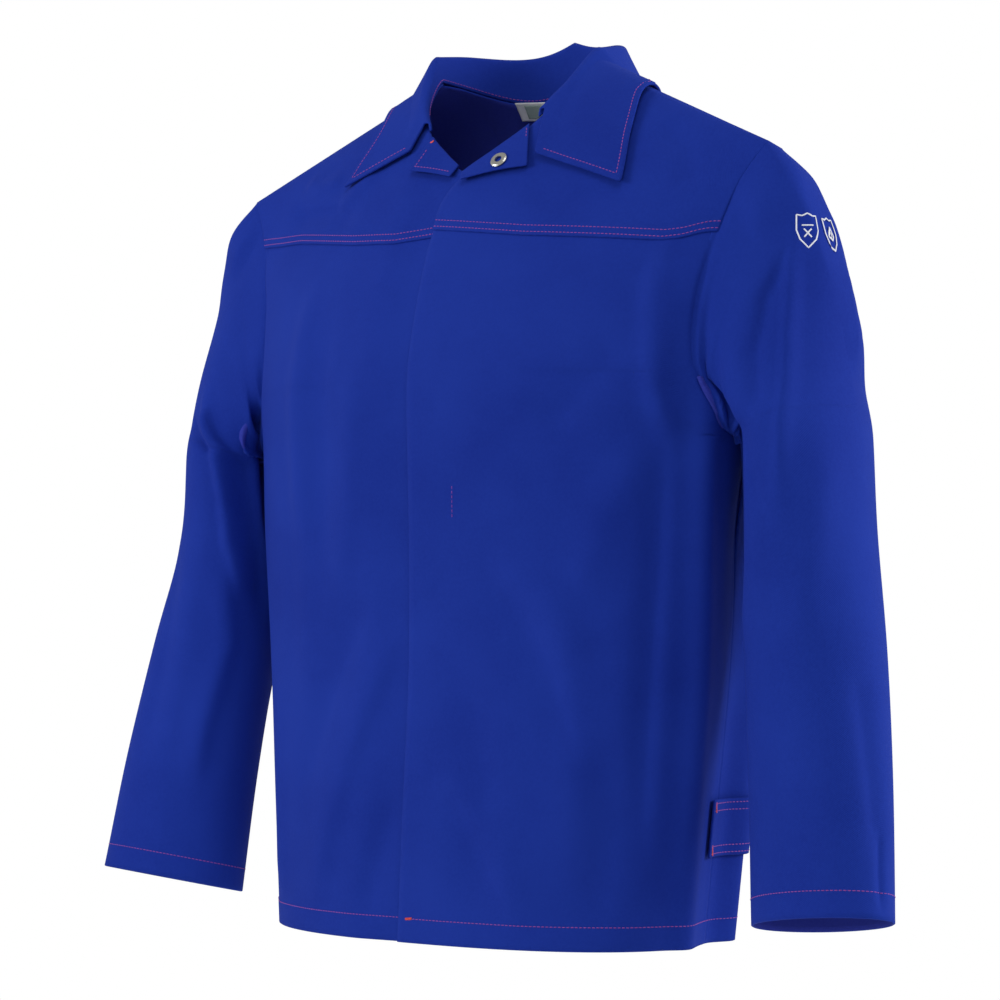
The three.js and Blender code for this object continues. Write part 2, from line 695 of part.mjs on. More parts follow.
// The label hangs inside the back, under the neck seam
function labelGrid() {
  const rows = [];
  const off = (CLOTH + LABEL_THICKNESS) / 2 + 2.3;
  for (let j = 0; j <= 2; j += 1) {
    const line = [];
    for (let i = 0; i <= 8; i += 1) {
      const x = LABEL_WIDTH * (i / 8 - 0.5);
      const z = -LABEL_DEPTH - LABEL_HEIGHT * (1 - j / 2);
      const spot = place("back", Math.abs(x), z);
      const p = body(x < 0 ? -1 : 1, "back", spot.angle, spot.level);
      const e = place("back", Math.abs(x) + 3, z);
      const q = body(x < 0 ? -1 : 1, "back", e.angle, e.level);
      const slope = (q.y - p.y) / 3 * Math.sign(x || 1);
      const size = Math.hypot(1, x === 0 ? 0 : slope);
      p.x += x === 0 ? 0 : off * slope / size;
      p.y -= off / size;
      line.push(p);
    }
    rows.push(line);
  }
  return rows;
}

function tabGrid(side) {
  const rows = [];
  const lift = CLOTH + TAB_STANDOFF[wordOf(side)];
  for (let j = 0; j <= 3; j += 1) {
    const z = -TAB_TOP_DEPTH - TAB_HEIGHT * (1 - j / 3);
    const line = [];
    for (let i = 0; i <= 8; i += 1) {
      const around = mix(TAB_START, TAB_END, i / 8);
      const spot = (a) => {
        const face = a <= 90 ? "front" : "back";
        const angle = a <= 90 ? a : 180 - a;
        return body(side, face, angle, levelAt(side, face, angle, z));
      };
      const d = spot(around + 1).sub(spot(around - 1));
      const n = vec(-d.y, d.x, 0).normalize();
      const p = spot(around);
      if (n.x * p.x + n.y * (p.y - MIDDLE_Y) < 0) n.negate();
      line.push(p.addScaledVector(n, lift));
    }
    rows.push(line);
  }
  return rows;
}

function build() {
  const group = new THREE.Group();
  group.name = "welding_jacket";
  const sheets = [];
  const sheet = (name, grids, thickness, look, seams) => {
    const surface = weave(grids);
    sheets.push({ name, surface, normals: surfaceNormals(surface), thickness, look, seams });
  };
  for (const [side, word] of [[1, "left"], [-1, "right"]]) {
    const flip = side < 0;
    sheet(`front_${word}`, [{ rows: frontGrid(side), flip }], CLOTH, COTTON, true);
    sheet(`front_yoke_${word}`, [{ rows: yokeGrid(side), flip }], CLOTH, COTTON, true);
    sheet(`sleeve_${word}`, [{ rows: sleeveGrid(side), flip }], CLOTH, COTTON, true);
  }
  sheet("back_panel", [{ rows: backGrid(1), flip: true }, { rows: backGrid(-1), flip: false }],
    CLOTH, COTTON, true);
  sheet("collar", [{ rows: collarGrid(), flip: false }], COLLAR_CLOTH, COTTON, false);
  for (const [side, word] of [[1, "left"], [-1, "right"]]) {
    sheet(`lapel_${word}`, [{ rows: lapelGrid(side), flip: side < 0 }], FACING_CLOTH, COTTON, false);
    sheet(`side_tab_${word}`, [{ rows: tabGrid(side), flip: side < 0 }], CLOTH, COTTON, false);
  }
  sheet("neck_label", [{ rows: labelGrid(), flip: false }], LABEL_THICKNESS, LABEL, false);
  joinSeams(sheets.filter((one) => one.seams));
  for (const one of sheets) add(group, one.name, solidOf(one), one.look);
  const across = lapelPoint(1, SOCKET_ALONG + 0.04, SOCKET_IN).sub(lapelPoint(1, SOCKET_ALONG - 0.04, SOCKET_IN));
  const inward = lapelPoint(1, SOCKET_ALONG, SOCKET_IN - 0.2).sub(lapelPoint(1, SOCKET_ALONG, SOCKET_IN + 0.2));
  const socket = { point: lapelPoint(1, SOCKET_ALONG, SOCKET_IN), normal: across.cross(inward).normalize() };
  const socketLift = (FACING_CLOTH + SOCKET_THICKNESS) / 2 + GAP + 0.2;
  add(group, "snap_socket", discAt(socket, socketLift, SOCKET_RADIUS, SOCKET_THICKNESS, SOCKET_HOLE), NICKEL);
  STUD_DEPTHS.forEach((depth, i) => {
    const frame = frontFrame(1, 0, -depth);
    add(group, `press_stud_${i + 1}`, discAt(frame, -LAYER_STEP / 2 - GAP, STUD_RADIUS, STUD_THICKNESS, 0), NICKEL);
  });
  return group;
}

export default build();
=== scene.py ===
import math

import bpy
import numpy as np
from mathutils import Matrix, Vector


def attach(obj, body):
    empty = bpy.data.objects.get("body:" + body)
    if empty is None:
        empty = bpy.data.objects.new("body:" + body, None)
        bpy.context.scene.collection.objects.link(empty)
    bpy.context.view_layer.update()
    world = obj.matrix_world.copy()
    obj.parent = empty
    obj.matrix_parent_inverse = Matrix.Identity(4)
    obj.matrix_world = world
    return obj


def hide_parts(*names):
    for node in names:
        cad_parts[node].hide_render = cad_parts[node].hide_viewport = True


# Welding jacket in its worn form, empty. The cutter's sizes are in millimetres; meshes are made in metres.
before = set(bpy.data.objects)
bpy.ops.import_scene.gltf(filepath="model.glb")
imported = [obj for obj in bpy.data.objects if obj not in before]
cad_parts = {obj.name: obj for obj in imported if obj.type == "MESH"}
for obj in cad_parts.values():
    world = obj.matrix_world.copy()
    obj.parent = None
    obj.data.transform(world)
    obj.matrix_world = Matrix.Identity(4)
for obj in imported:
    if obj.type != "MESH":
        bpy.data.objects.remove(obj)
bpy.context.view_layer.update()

MM = 0.001

# Sizes of the body, sleeves, collar and small pieces
BACK_LENGTH, HALF_CHEST, FRONT_DEPTH, BACK_DEPTH, MIDDLE_Y = 742, 250, 122, 124, -98
HALF_SHOULDER, SHOULDER_DROP, HALF_NECK, NECK_RISE = 270, 94, 80, 4
SHOULDER_BACK, SHOULDER_FORWARD, CAP_FLARE, BACK_CROWN = 24, 44, 16, 9
ARMPIT_DEPTH, YOKE_DEPTH, NECK_OPENING_DEPTH, OVERLAP = 335, 141, 99, 18
YOKE_SIDE_DEPTH = {1: 163, -1: 136}
SLEEVE_DEPTH, SLEEVE_OUT, SLEEVE_FORWARD = 378, 93, 55
SLEEVE_HALF_WIDTH, SLEEVE_HALF_THICKNESS, SLEEVE_CLEARANCE = 64, 78, 5.5
COLLAR_STAND, COLLAR_LEAF, COLLAR_ROLL, LEAF_CLEARANCE = 32, 66, 4.5, 5
LAPEL_WIDTH, LAPEL_SPRING, LAPEL_LIFT = 43, 3, 0.8
LAPEL_SHARE, LAPEL_START, LAPEL_END = {1: 1.0, -1: 0.78}, {1: 0.27, -1: 0.33}, 0.6
# share of the width at the lapel's foot, and how far its free edge lies beside and below the fold
LAPEL_FOOT, LAPEL_OUT, LAPEL_DOWN = 0.15, 0.3, 0.95
TAB_HEIGHT, TAB_START, TAB_END, TAB_TOP_DEPTH = 46, 84, 128, 624
TAB_LIFT = {1: 2.2, -1: 1.4}
LABEL_WIDTH, LABEL_HEIGHT, LABEL_DEPTH, LABEL_LIFT = 98, 15, 5, 1.6
STUD_DEPTHS = (296, 449, 602)
CLOTH, FACING_CLOTH, COLLAR_CLOTH, LABEL_CLOTH, LAYER_STEP = 2.0, 1.6, 2.4, 0.8, 5.4
EDGE_ROUND = 0.32

# Sewing lines, and how the cloth rises or sinks at them
SEAM_TUCK, TUCK_ROWS, TUCK_CLIMB, SEAM_STEP, EDGE_BEND = 9, 3, 0.055, 1.5, 40
CAP_STEP, CAP_TUCK_ANGLE, ARMHOLE_HOLD, OVERLAP_END = 1.2, 2.0, 0.42, 0.42
# heights between which the cloth under the yoke seam follows the sewn line
SEAM_PULL = (-320, -150)
SEAM_STITCHES, TAB_STITCHES = (2.6, 8.6), (2.5, 8.5)
HEM_STITCH, CUFF_STITCH, COLLAR_STITCH, LAPEL_STITCH, HEM_SWELL = 19, 20, 5.0, 4.0, 0.5
POCKET_MARK_X, POCKET_MARK_DEPTHS = 26, (367, 391)
STUD_RIM, STUD_RISE, STUD_DIP, STUD_DIP_RADIUS, STUD_DIP_WIDTH = (5.5, 8.5), 0.9, 0.35, 9.5, 2.2
# the outer edge of a front rolls in towards the armhole between these heights
EDGE_ROLL, EDGE_ROLL_SHARE, EDGE_ROLL_FOOT, EDGE_ROLL_HEAD = 3.5, 0.955, (-470, -340), (-215, -165)


def table(names, *lines):
    """Columns by name, from one line of names and lines of numbers."""
    cells = np.array([[float(c) for c in line.split()] for line in lines])
    return dict(zip(names.split(), cells.T))


SECTIONS = table(
    "down left right front back square",
    "0.20 1.03 1.03 0.98 1.02 2.4",
    "0.30 1.01 1.01 0.99 1.08 2.4",
    "0.40 0.98 0.99 1.01 1.06 2.4",
    "0.55 0.94 0.96 0.98 1.00 2.4",
    "0.70 0.91 0.93 0.98 0.96 2.4",
    "0.85 0.86 0.90 1.04 0.92 2.4",
    "1.00 0.81 0.87 1.09 0.88 2.4")
CAP_START = {"front": 0.37, "back": 0.26}
CAP_SQUARE = {"front": 1.3, "back": 2.2}
ARMHOLE = table(
    "fall front back",
    "0.00 68.9 68.9",
    "0.12 64.0 65.0",
    "0.26 62.0 61.0",
    "0.45 61.5 58.0",
    "0.65 62.5 58.0",
    "0.82 66.0 62.0",
    "0.94 75.0 72.0",
    "1.00 90.0 90.0")
OPENING = table(
    "along x down",
    "0.00 -0.22 1.42",
    "0.12 -0.20 1.20",
    "0.25 -0.04 1.00",
    "0.42 0.34 0.77",
    "0.60 0.64 0.57",
    "0.80 0.86 0.34",
    "0.90 0.94 0.17",
    "1.00 1.00 -0.04")
SLEEVE = table(
    "along left right forward down tilt yaw pitch wide thick",
    "0.00 0.12 0.15 0.00 -0.318 84 0 0 1.89 0.92",
    "0.08 0.32 0.37 0.02 -0.243 72 0 0 1.50 0.93",
    "0.16 0.40 0.38 0.04 -0.190 62 0 0 1.25 0.94",
    "0.25 0.46 0.42 0.06 -0.127 46 0 1 1.00 0.93",
    "0.33 0.52 0.44 0.09 -0.061 25 0 2 0.83 0.91",
    "0.42 0.57 0.45 0.13 0.000 6 0 3 0.80 0.88",
    "0.55 0.64 0.50 0.25 0.190 3 -3 5 0.83 0.78",
    "0.70 0.78 0.74 0.46 0.450 5 -8 7 0.90 0.67",
    "0.85 0.90 0.90 0.72 0.720 7 -13 9 0.98 0.58",
    "1.00 1.00 1.00 1.00 1.000 8 -17 10 1.04 0.52")
COLLAR = {1: table(
    "along face stand lean leaf fall bow",
    "0.00 90 1.30 4 0.88 70 0",
    "0.18 68 1.16 7 0.86 67 0",
    "0.36 40 0.58 10 0.88 60 0",
    "0.50 14 0.20 12 0.93 50 0",
    "0.66 6.1 0.14 10 1.15 39 3",
    "0.84 -5.9 0.15 8 1.40 34.9 13",
    "1.00 -14.4 0.085 6 1.80 38.7 28.7"), -1: table(
    "along face stand lean leaf fall bow",
    "0.00 90 1.30 4 0.88 70 0",
    "0.18 68 1.14 7 0.86 67 0",
    "0.36 40 0.90 10 0.82 60 0",
    "0.50 14 0.62 12 0.80 50 0",
    "0.66 -3.7 0.30 10 0.86 49.1 3",
    "0.84 -8.0 0.16 8 1.19 41.3 13",
    "1.00 0.5 0.113 6 1.42 40 16.8")}
# share of a leaf where its bow is widest, and how the bow leans inward and forward as it drops
GORGE, BOW_INWARD, BOW_FORWARD = {1: 0.172, -1: 0.15}, 0.35, 0.66
# long folds of the body: side, angle at the top and the foot, depths from and to, half width, height
FOLDS = (
    (1, 66, 76, 0.28, 1.00, 5, 7),
    (1, 92, 92, 0.42, 1.00, 8, -9),
    (1, 106, 104, 0.50, 1.00, 6, 6),
    (-1, 70, 74, 0.40, 1.00, 7, 4),
    (-1, 92, 92, 0.45, 1.00, 9, -6),
    (-1, 30, 34, 0.30, 0.80, 5, 2.5),
    (1, 24, 40, 0.55, 0.95, 6, 2.5),
)
# small folds of the fronts: path in the flat (x, z), half width, height, lean of the steeper side
FRONT_FOLDS = {
    1: (
        (((40, -430), (80, -460), (115, -520), (140, -600)), 15, -3.9, 0.3),
        (((60, -425), (105, -450), (150, -520)), 16, 2.7, 0.0),
        (((10, -590), (45, -620), (85, -690), (100, -735)), 15, 3.6, -0.3),
        (((25, -500), (50, -560), (60, -660), (50, -735)), 20, -3.3, 0.2),
        (((185, -250), (150, -280), (110, -330)), 20, -3.0, 0.2),
        (((196, -330), (160, -390), (140, -470)), 18, 3.0, 0.0),
        (((160, -560), (165, -640), (150, -735)), 18, -3.3, 0.2),
        (((205, -300), (198, -420), (188, -560), (180, -700)), 9, -3.6, 0.3),
        (((199, -160), (196, -220), (200, -290), (212, -350)), 9, 6.0, 0.0),
    ),
    -1: (
        (((-150, -170), (-152, -300), (-146, -420)), 13, 3.9, 0.0),
        (((-120, -200), (-118, -330), (-124, -450)), 15, -3.0, 0.2),
        (((-80, -250), (-84, -360), (-98, -470)), 14, 3.3, 0.0),
        (((-30, -470), (-70, -560), (-105, -660), (-125, -735)), 18, 4.5, 0.3),
        (((-60, -440), (-110, -540), (-150, -640)), 18, -3.9, 0.2),
        (((-25, -610), (-50, -680), (-60, -735)), 14, -3.0, 0.0),
        (((-190, -520), (-185, -640), (-178, -735)), 12, 3.0, 0.0),
    ),
}
YOKE_FOLDS = {
    1: (
        (((60, -118), (110, -128), (170, -120)), 10, -2.1, 0.2),
        (((170, -60), (200, -90), (215, -130)), 12, -2.4, 0.0),
    ),
    -1: (
        (((-215, -100), (-190, -112), (-150, -112), (-110, -128)), 9, -3.9, 0.3),
        (((-205, -78), (-180, -88), (-150, -84)), 9, 2.7, 0.0),
        (((-110, -60), (-120, -90), (-150, -120)), 9, 2.4, 0.0),
    ),
}
# a sleeve laid out flat: its length, and the width of a degree of its turn
FOLD_LENGTH, FOLD_GIRTH = 600, 1.25
# path down and round the flat sleeve, half width, height, lean
SLEEVE_FOLDS = {
    1: (
        (((12, 440), (60, 445), (110, 442), (200, 436)), 30, 8.0, 0.0),
        (((6, 130), (50, 150), (120, 166), (220, 176), (330, 178), (400, 182)), 24, -10.0, 0.0),
        (((8, 110), (18, 129), (26, 147), (20, 166), (70, 178), (150, 182), (258, 183), (330, 181),
          (400, 184)), 12, -15.0, 0.0),
        (((22, -80), (24, 0), (22, 80)), 17, 6.5, 0.0),
        (((40, 10), (80, 42), (110, 54), (142, 66), (236, 90), (330, 100)), 10, 4.8, 0.3),
        (((60, 30), (100, 80), (150, 105), (230, 118)), 14, -4.5, 0.0),
        (((70, 452), (111, 438), (149, 432), (215, 428)), 5, -1.8, 0.2),
        (((180, 150), (260, 140), (330, 120)), 16, -3.6, 0.2),
        (((250, 40), (340, 60), (430, 90)), 18, 2.7, 0.0),
        (((430, 30), (500, 20), (575, 8)), 14, -2.7, 0.2),
        (((540, 2), (572, 8), (598, 4)), 6, -2.4, 0.0),
        (((330, 330), (400, 300), (470, 290)), 18, 3.0, 0.0),
        (((260, 250), (320, 300), (380, 340)), 14, -3.3, 0.2),
        (((120, 260), (180, 300), (240, 320)), 16, 3.6, 0.0),
    ),
    -1: (
        (((10, 190), (80, 196), (200, 204), (330, 214)), 18, -6.0, 0.0),
        (((4, 122), (6, 147), (20, 168), (120, 188), (265, 200), (350, 203)), 12, -13.0, 0.0),
        (((22, -80), (24, 0), (22, 80)), 17, 6.5, 0.0),
        (((150, 84), (190, 106), (232, 129), (333, 147), (390, 182)), 10, 6.0, -0.35),
        (((205, 160), (293, 168), (409, 212)), 16, -6.8, 0.2),
        (((190, 60), (212, 96), (236, 140)), 10, -5.1, 0.3),
        (((178, 100), (198, 116), (226, 150)), 7, 3.6, 0.0),
        (((345, 140), (413, 165), (478, 148), (540, 140)), 14, 4.5, 0.2),
        (((330, 60), (420, 84), (520, 80)), 18, -3.3, 0.0),
        (((300, 250), (360, 290), (420, 330)), 16, 3.6, 0.0),
        (((220, 300), (280, 330), (330, 380)), 14, -3.6, 0.0),
    ),
}


# The cutter's surfaces
def from_table(rows, key, value, column):
    """Smooth reading of a table's column at a value of its key column."""
    k, c = rows[key], rows[column]
    last = len(k) - 1
    x = np.clip(value, k[0], k[last])
    i = np.clip(np.searchsorted(k, x, side="left") - 1, 0, last - 1)
    before, after = np.maximum(np.arange(last + 1) - 1, 0), np.minimum(np.arange(last + 1) + 1, last)
    slope = (c[after] - c[before]) / (k[after] - k[before])
    span = k[i + 1] - k[i]
    t = (x - k[i]) / span
    return ((2 * t ** 3 - 3 * t ** 2 + 1) * c[i] + (t ** 3 - 2 * t ** 2 + t) * span * slope[i]
            + (3 * t ** 2 - 2 * t ** 3) * c[i + 1] + (t ** 3 - t ** 2) * span * slope[i + 1])


def mix(a, b, t):
    """A value between a and b."""
    return a + (b - a) * t


def ease(a, b, x):
    """A soft step from 0 at a to 1 at b."""
    t = np.clip((x - a) / (b - a), 0, 1)
    return t * t * (3 - 2 * t)


def power(base, exponent):
    return np.sign(base) * np.abs(base) ** exponent


def unit(v):
    return v / np.maximum(np.linalg.norm(v, axis=-1, keepdims=True), 1e-9)


def shoulder_line(x):
    """Height of the shoulder line."""
    return NECK_RISE - SHOULDER_DROP * (np.abs(x) - HALF_NECK) / (HALF_SHOULDER - HALF_NECK)


def main_folds(side, around, down):
    """How far the long folds push the body out."""
    total = 0 * around * down
    for which, top, foot, start, end, width, height in FOLDS:
        if which != side:
            continue
        t = (down - start) / (end - start)
        fade = ease(0, 0.25, t) * (1 if end >= 1 else 1 - ease(0.75, 1, t))
        off = (around - mix(top, foot, np.clip(t, 0, 1))) / width
        total = total + height * fade * np.exp(-off * off)
    return total


def body_point(side, face, angle, level):
    """Point of the body: level 0 is the hem, 1 the start of the shoulder and 2 the shoulder line."""
    angle, level = np.broadcast_arrays(np.asarray(angle, float), np.asarray(level, float))
    start = CAP_START[face]
    down = np.where(level < 1, mix(1, start, level), start)
    turn = np.radians(90 * np.clip(level - 1, 0, 1))
    square = from_table(SECTIONS, "down", down, "square")
    rise = power(np.sin(turn), 2 / CAP_SQUARE[face])
    inset = power(np.maximum(np.cos(turn), 0), 2 / CAP_SQUARE[face])
    flat = HALF_CHEST * from_table(SECTIONS, "down", down, "left" if side > 0 else "right")
    wide = mix(flat, HALF_SHOULDER + CAP_FLARE, rise ** 1.5)
    reach = (-FRONT_DEPTH if face == "front" else BACK_DEPTH) * from_table(SECTIONS, "down", down, face)
    x = wide * power(np.sin(np.radians(angle)), 2 / square)
    share = x / HALF_SHOULDER
    middle = MIDDLE_Y + rise * rise * (SHOULDER_BACK - SHOULDER_FORWARD * share)
    y = middle + reach * power(np.cos(np.radians(angle)), 2 / square) * inset
    z = -BACK_LENGTH * down + (shoulder_line(x) + BACK_LENGTH * start) * rise
    if face == "back":
        z = z + BACK_CROWN * share * np.sin(2 * turn) ** 2 * ease(0.5, 0.9, rise)
    around = angle if face == "front" else 180 - angle
    out = main_folds(side, around, -z / BACK_LENGTH)
    bearing = np.radians(around)
    return np.stack([side * (x + np.sin(bearing) * out), y - np.cos(bearing) * out, z], -1)


def body_place(face, x, z):
    """Angle and level of the body at a width and a height."""
    foot = -BACK_LENGTH * CAP_START[face]
    rise = np.clip((z - foot) / (shoulder_line(x) - foot), 0, 1)
    turn = np.arcsin(rise ** (CAP_SQUARE[face] / 2)) / np.radians(90)
    level = np.where(z < foot, 1 - (foot - z) / (BACK_LENGTH + foot), 1 + turn)
    down = np.maximum(-z / BACK_LENGTH, CAP_START[face])
    flat = HALF_CHEST * from_table(SECTIONS, "down", down, "left")
    wide = mix(flat, HALF_SHOULDER + CAP_FLARE, rise ** 1.5)
    square = from_table(SECTIONS, "down", down, "square")
    angle = np.degrees(np.arcsin(np.minimum(np.abs(x) / wide, 1) ** (square / 2)))
    return np.sign(x) * angle, level


def level_at(side, face, angle, z):
    """Level of the body at an angle and a height."""
    low = np.zeros(np.broadcast(angle, z).shape)
    high = low + 2.0
    for _ in range(32):
        half = (low + high) / 2
        under = body_point(side, face, angle, half)[..., 2] < z
        low, high = np.where(under, half, low), np.where(under, high, half)
    return (low + high) / 2


def armhole(side, face, fall):
    """Angle and level of the armhole at a share of its fall from the shoulder to the armpit."""
    fall = np.asarray(fall, float)
    angle = from_table(ARMHOLE, "fall", fall, face)
    top = body_point(side, face, ARMHOLE[face][0], 2.0)[2]
    level = np.where(fall <= 0, 2.0, level_at(side, face, angle, mix(top, -ARMPIT_DEPTH, fall)))
    return angle, level


def opening(along):
    """Width and height of the neck opening's edge, from its foot to the shoulder."""
    x = HALF_NECK * from_table(OPENING, "along", along, "x")
    return x, -NECK_OPENING_DEPTH * from_table(OPENING, "along", along, "down")


def neck_angle(face):
    """Angle of the shoulder point of the neck."""
    return float(body_place(face, np.array(float(HALF_NECK)), np.array(float(NECK_RISE)))[0])


def back_neck_level(side):
    """Level of the middle of the back neck."""
    return float(level_at(side, "back", np.array(0.0), np.array(0.0)))


def fall_of(side, face, climb):
    """Fall of the armhole for a climb of 0 at the armpit, 1 at the yoke seam and 2 at the shoulder."""
    top = body_point(side, face, ARMHOLE[face][0], 2.0)[2]
    seam = (top + YOKE_SIDE_DEPTH[side]) / (top + ARMPIT_DEPTH)
    return np.where(climb <= 1, mix(1, seam, np.minimum(climb, 1) ** 2), mix(seam, 0, climb - 1))


def front_point(side, angle, level):
    """Point of a front; it may reach over the middle, and the right one sinks under the left one."""
    same = body_point(side, "front", np.maximum(angle, 0), level)
    other = body_point(-side, "front", np.maximum(-angle, 0), level)
    point = np.where((angle >= 0)[..., None], same, other)
    if side < 0:
        sign = np.where(angle >= 0, 1, -1)
        sink = LAYER_STEP * (1 - ease(OVERLAP * 1.2, OVERLAP * 4, -point[..., 0] * sign))
        point = point + np.stack([0 * sink, sink * 0.98, 0 * sink], -1)
    return point


def normals_of(grid, closed=False):
    """Directions square to a grid of points."""
    if closed:
        du = np.roll(grid, -1, 1) - np.roll(grid, 1, 1)
    else:
        du = np.gradient(grid, axis=1)
    return unit(np.cross(du, np.gradient(grid, axis=0)))


def front_at(side, x, z):
    """Middle of the cloth of a front or yoke at a signed x and a height, and its outward direction."""
    def at(px, pz):
        angle, level = body_place("front", side * px, pz)
        return front_point(side, angle, level)
    return at(x, z), unit(np.cross(at(x + 2, z) - at(x - 2, z), at(x, z + 2) - at(x, z - 2)))


# Making cloth
def make_object(name, points, faces, uvs=None, slots=None, materials=()):
    """A smooth mesh from points in millimetres, with its flat layout where it has one."""
    mesh = bpy.data.meshes.new(name)
    mesh.from_pydata((np.asarray(points) * MM).tolist(), [], faces)
    if uvs is not None:
        layer = mesh.uv_layers.new(name="cloth_uv")
        layer.data.foreach_set("uv", np.asarray(uvs, dtype=np.float32).ravel())
    for material in materials:
        mesh.materials.append(material)
    if slots is not None:
        mesh.polygons.foreach_set("material_index", np.asarray(slots, dtype=np.int32))
    mesh.polygons.foreach_set("use_smooth", np.ones(len(mesh.polygons), dtype=bool))
    mesh.validate()
    mesh.update()
    piece = bpy.data.objects.new(name, mesh)
    bpy.context.scene.collection.objects.link(piece)
    return piece


def cloth(name, middle, thickness, materials, closed=False, flip=False, relief=None):
    """A sheet of cloth round a grid of middle points, its edges turned in a small round."""
    rows, cols = middle.shape[:2]
    normal = normals_of(middle, closed) * (-1 if flip else 1)
    if relief is not None:
        middle = middle + normal * relief[..., None]
        normal = normals_of(middle, closed) * (-1 if flip else 1)
    outer = middle + normal * thickness / 2
    inner = middle - normal * thickness / 2
    count = rows * cols
    index = np.arange(count).reshape(rows, cols)
    if closed:
        index = np.concatenate([index, index[:, :1]], 1)
        wrapped = np.concatenate([middle, middle[:, :1]], 1)
    else:
        wrapped = middle
    steps_u = np.linalg.norm(np.diff(wrapped, axis=1), axis=2)
    steps_v = np.linalg.norm(np.diff(wrapped, axis=0), axis=2)
    u = np.concatenate([np.zeros((rows, 1)), np.cumsum(steps_u, 1)], 1)
    u = u - u[:, u.shape[1] // 2][:, None]
    v = np.concatenate([np.zeros((1, wrapped.shape[1])), np.cumsum(steps_v, 0)], 0)
    uv = np.stack([u, v], -1) * MM
    a, b, c, d = index[:-1, :-1], index[:-1, 1:], index[1:, 1:], index[1:, :-1]
    quads = np.stack([a, b, c, d], -1).reshape(-1, 4)
    quad_uv = np.stack([uv[:-1, :-1], uv[:-1, 1:], uv[1:, 1:], uv[1:, :-1]], 2).reshape(-1, 4, 2)
    if flip:
        quads, quad_uv = quads[:, ::-1], quad_uv[:, ::-1]
    faces, loops, slots = [quads], [quad_uv], [np.zeros(len(quads), int)]
    faces.append(quads[:, ::-1] + count)
    loops.append(quad_uv[:, ::-1])
    slots.append(np.ones(len(quads), int))
    points = [outer.reshape(-1, 3), inner.reshape(-1, 3)]
    if closed:
        rims = [index[0, :], index[-1, ::-1]]
    else:
        rims = [np.concatenate([
            index[0, :-1], index[:-1, -1], index[-1, :0:-1], index[:0:-1, 0], index[0, :1]])]
    base = 2 * count
    flat_mid, flat_n = middle.reshape(-1, 3), normal.reshape(-1, 3)
    flat_uv = uv[:, :cols].reshape(-1, 2)
    for rim in rims:
        ring = rim[:-1]
        along = unit(np.roll(flat_mid[ring], -1, 0) - np.roll(flat_mid[ring], 1, 0))
        away = unit(np.cross(along, flat_n[ring])) * (-1 if flip else 1)
        points.append(flat_mid[ring] + away * thickness * EDGE_ROUND)
        n = len(ring)
        edge = base + np.arange(n)
        after = np.roll(np.arange(n), -1)
        one = np.stack([ring, edge, edge[after], ring[after]], -1)
        two = np.stack([edge, ring + count, ring[after] + count, edge[after]], -1)
        if flip:
            one, two = one[:, ::-1], two[:, ::-1]
        for strip in (one, two):
            faces.append(strip)
            loops.append(np.stack([flat_uv[ring]] * 4, 1))
            slots.append(np.zeros(n, int))
        base += n
    points, faces = np.concatenate(points), np.concatenate(faces)
    uvs, slots = np.concatenate(loops), np.concatenate(slots)
    return make_object(name, points, faces.tolist(), uvs, slots, materials), middle, normal


def crease(x, z, path, width, height, lean):
    """A fold along a path in the flat; lean makes one side steeper than the other."""
    path = np.asarray(path, float)
    best = np.full(x.shape, 1e9)
    run = np.zeros(x.shape)
    signed = np.zeros(x.shape)
    lengths = np.linalg.norm(np.diff(path, axis=0), axis=1)
    total = lengths.sum()
    gone = 0.0
    for (x0, z0), (x1, z1), length in zip(path[:-1], path[1:], lengths):
        dx, dz = (x1 - x0) / length, (z1 - z0) / length
        t = np.clip((x - x0) * dx + (z - z0) * dz, 0, length)
        off = np.hypot(x - x0 - dx * t, z - z0 - dz * t)
        near = off < best
        side = np.sign((x - x0) * dz - (z - z0) * dx)
        run = np.where(near, (gone + t) / total, run)
        signed = np.where(near, side * off, signed)
        best = np.where(near, off, best)
        gone += length
    local = width * (1 + lean * np.sign(signed))
    shape = np.exp(-(signed / local) ** 2)
    return height * shape * ease(0, 0.25, run) * (1 - ease(0.75, 1, run))


def front_panel(side, inner, outer, across):
    """Grid of points of a front between two borders, given as rows of angle and level."""
    (a0, l0), (a1, l1) = inner, outer
    share = np.linspace(0, 1, across + 1)[None, :]
    return front_point(side, mix(a0[:, None], a1[:, None], share), mix(l0[:, None], l1[:, None], share))


# the yoke seam as it is sewn: x and z of its edge
SEAM_LINE = {1: ((-22, -144), (74, -157), (147, -164), (196, -169), (240, -165)),
             -1: ((-260, -136), (-185, -139), (-110, -149), (-60, -153), (22, -148))}


def sew_line(side, grid, seam_row, fade):
    """Moves the cloth near the yoke seam along the surface, so that its edge runs on the sewn line."""
    line = np.array(SEAM_LINE[side], float)
    x, z = grid[..., 0], grid[..., 2]
    u = np.linspace(0, 1, grid.shape[1])
    shift = (np.interp(x[seam_row], line[:, 0], line[:, 1]) - z[seam_row]) * (1 - ease(0.8, 1, u))
    dz = shift[None, :] * fade[:, None]
    angle, level = body_place("front", side * x, z + dz)
    moved = front_point(side, angle, level)
    return np.where((np.abs(dz) > 0.02)[..., None], moved, grid)


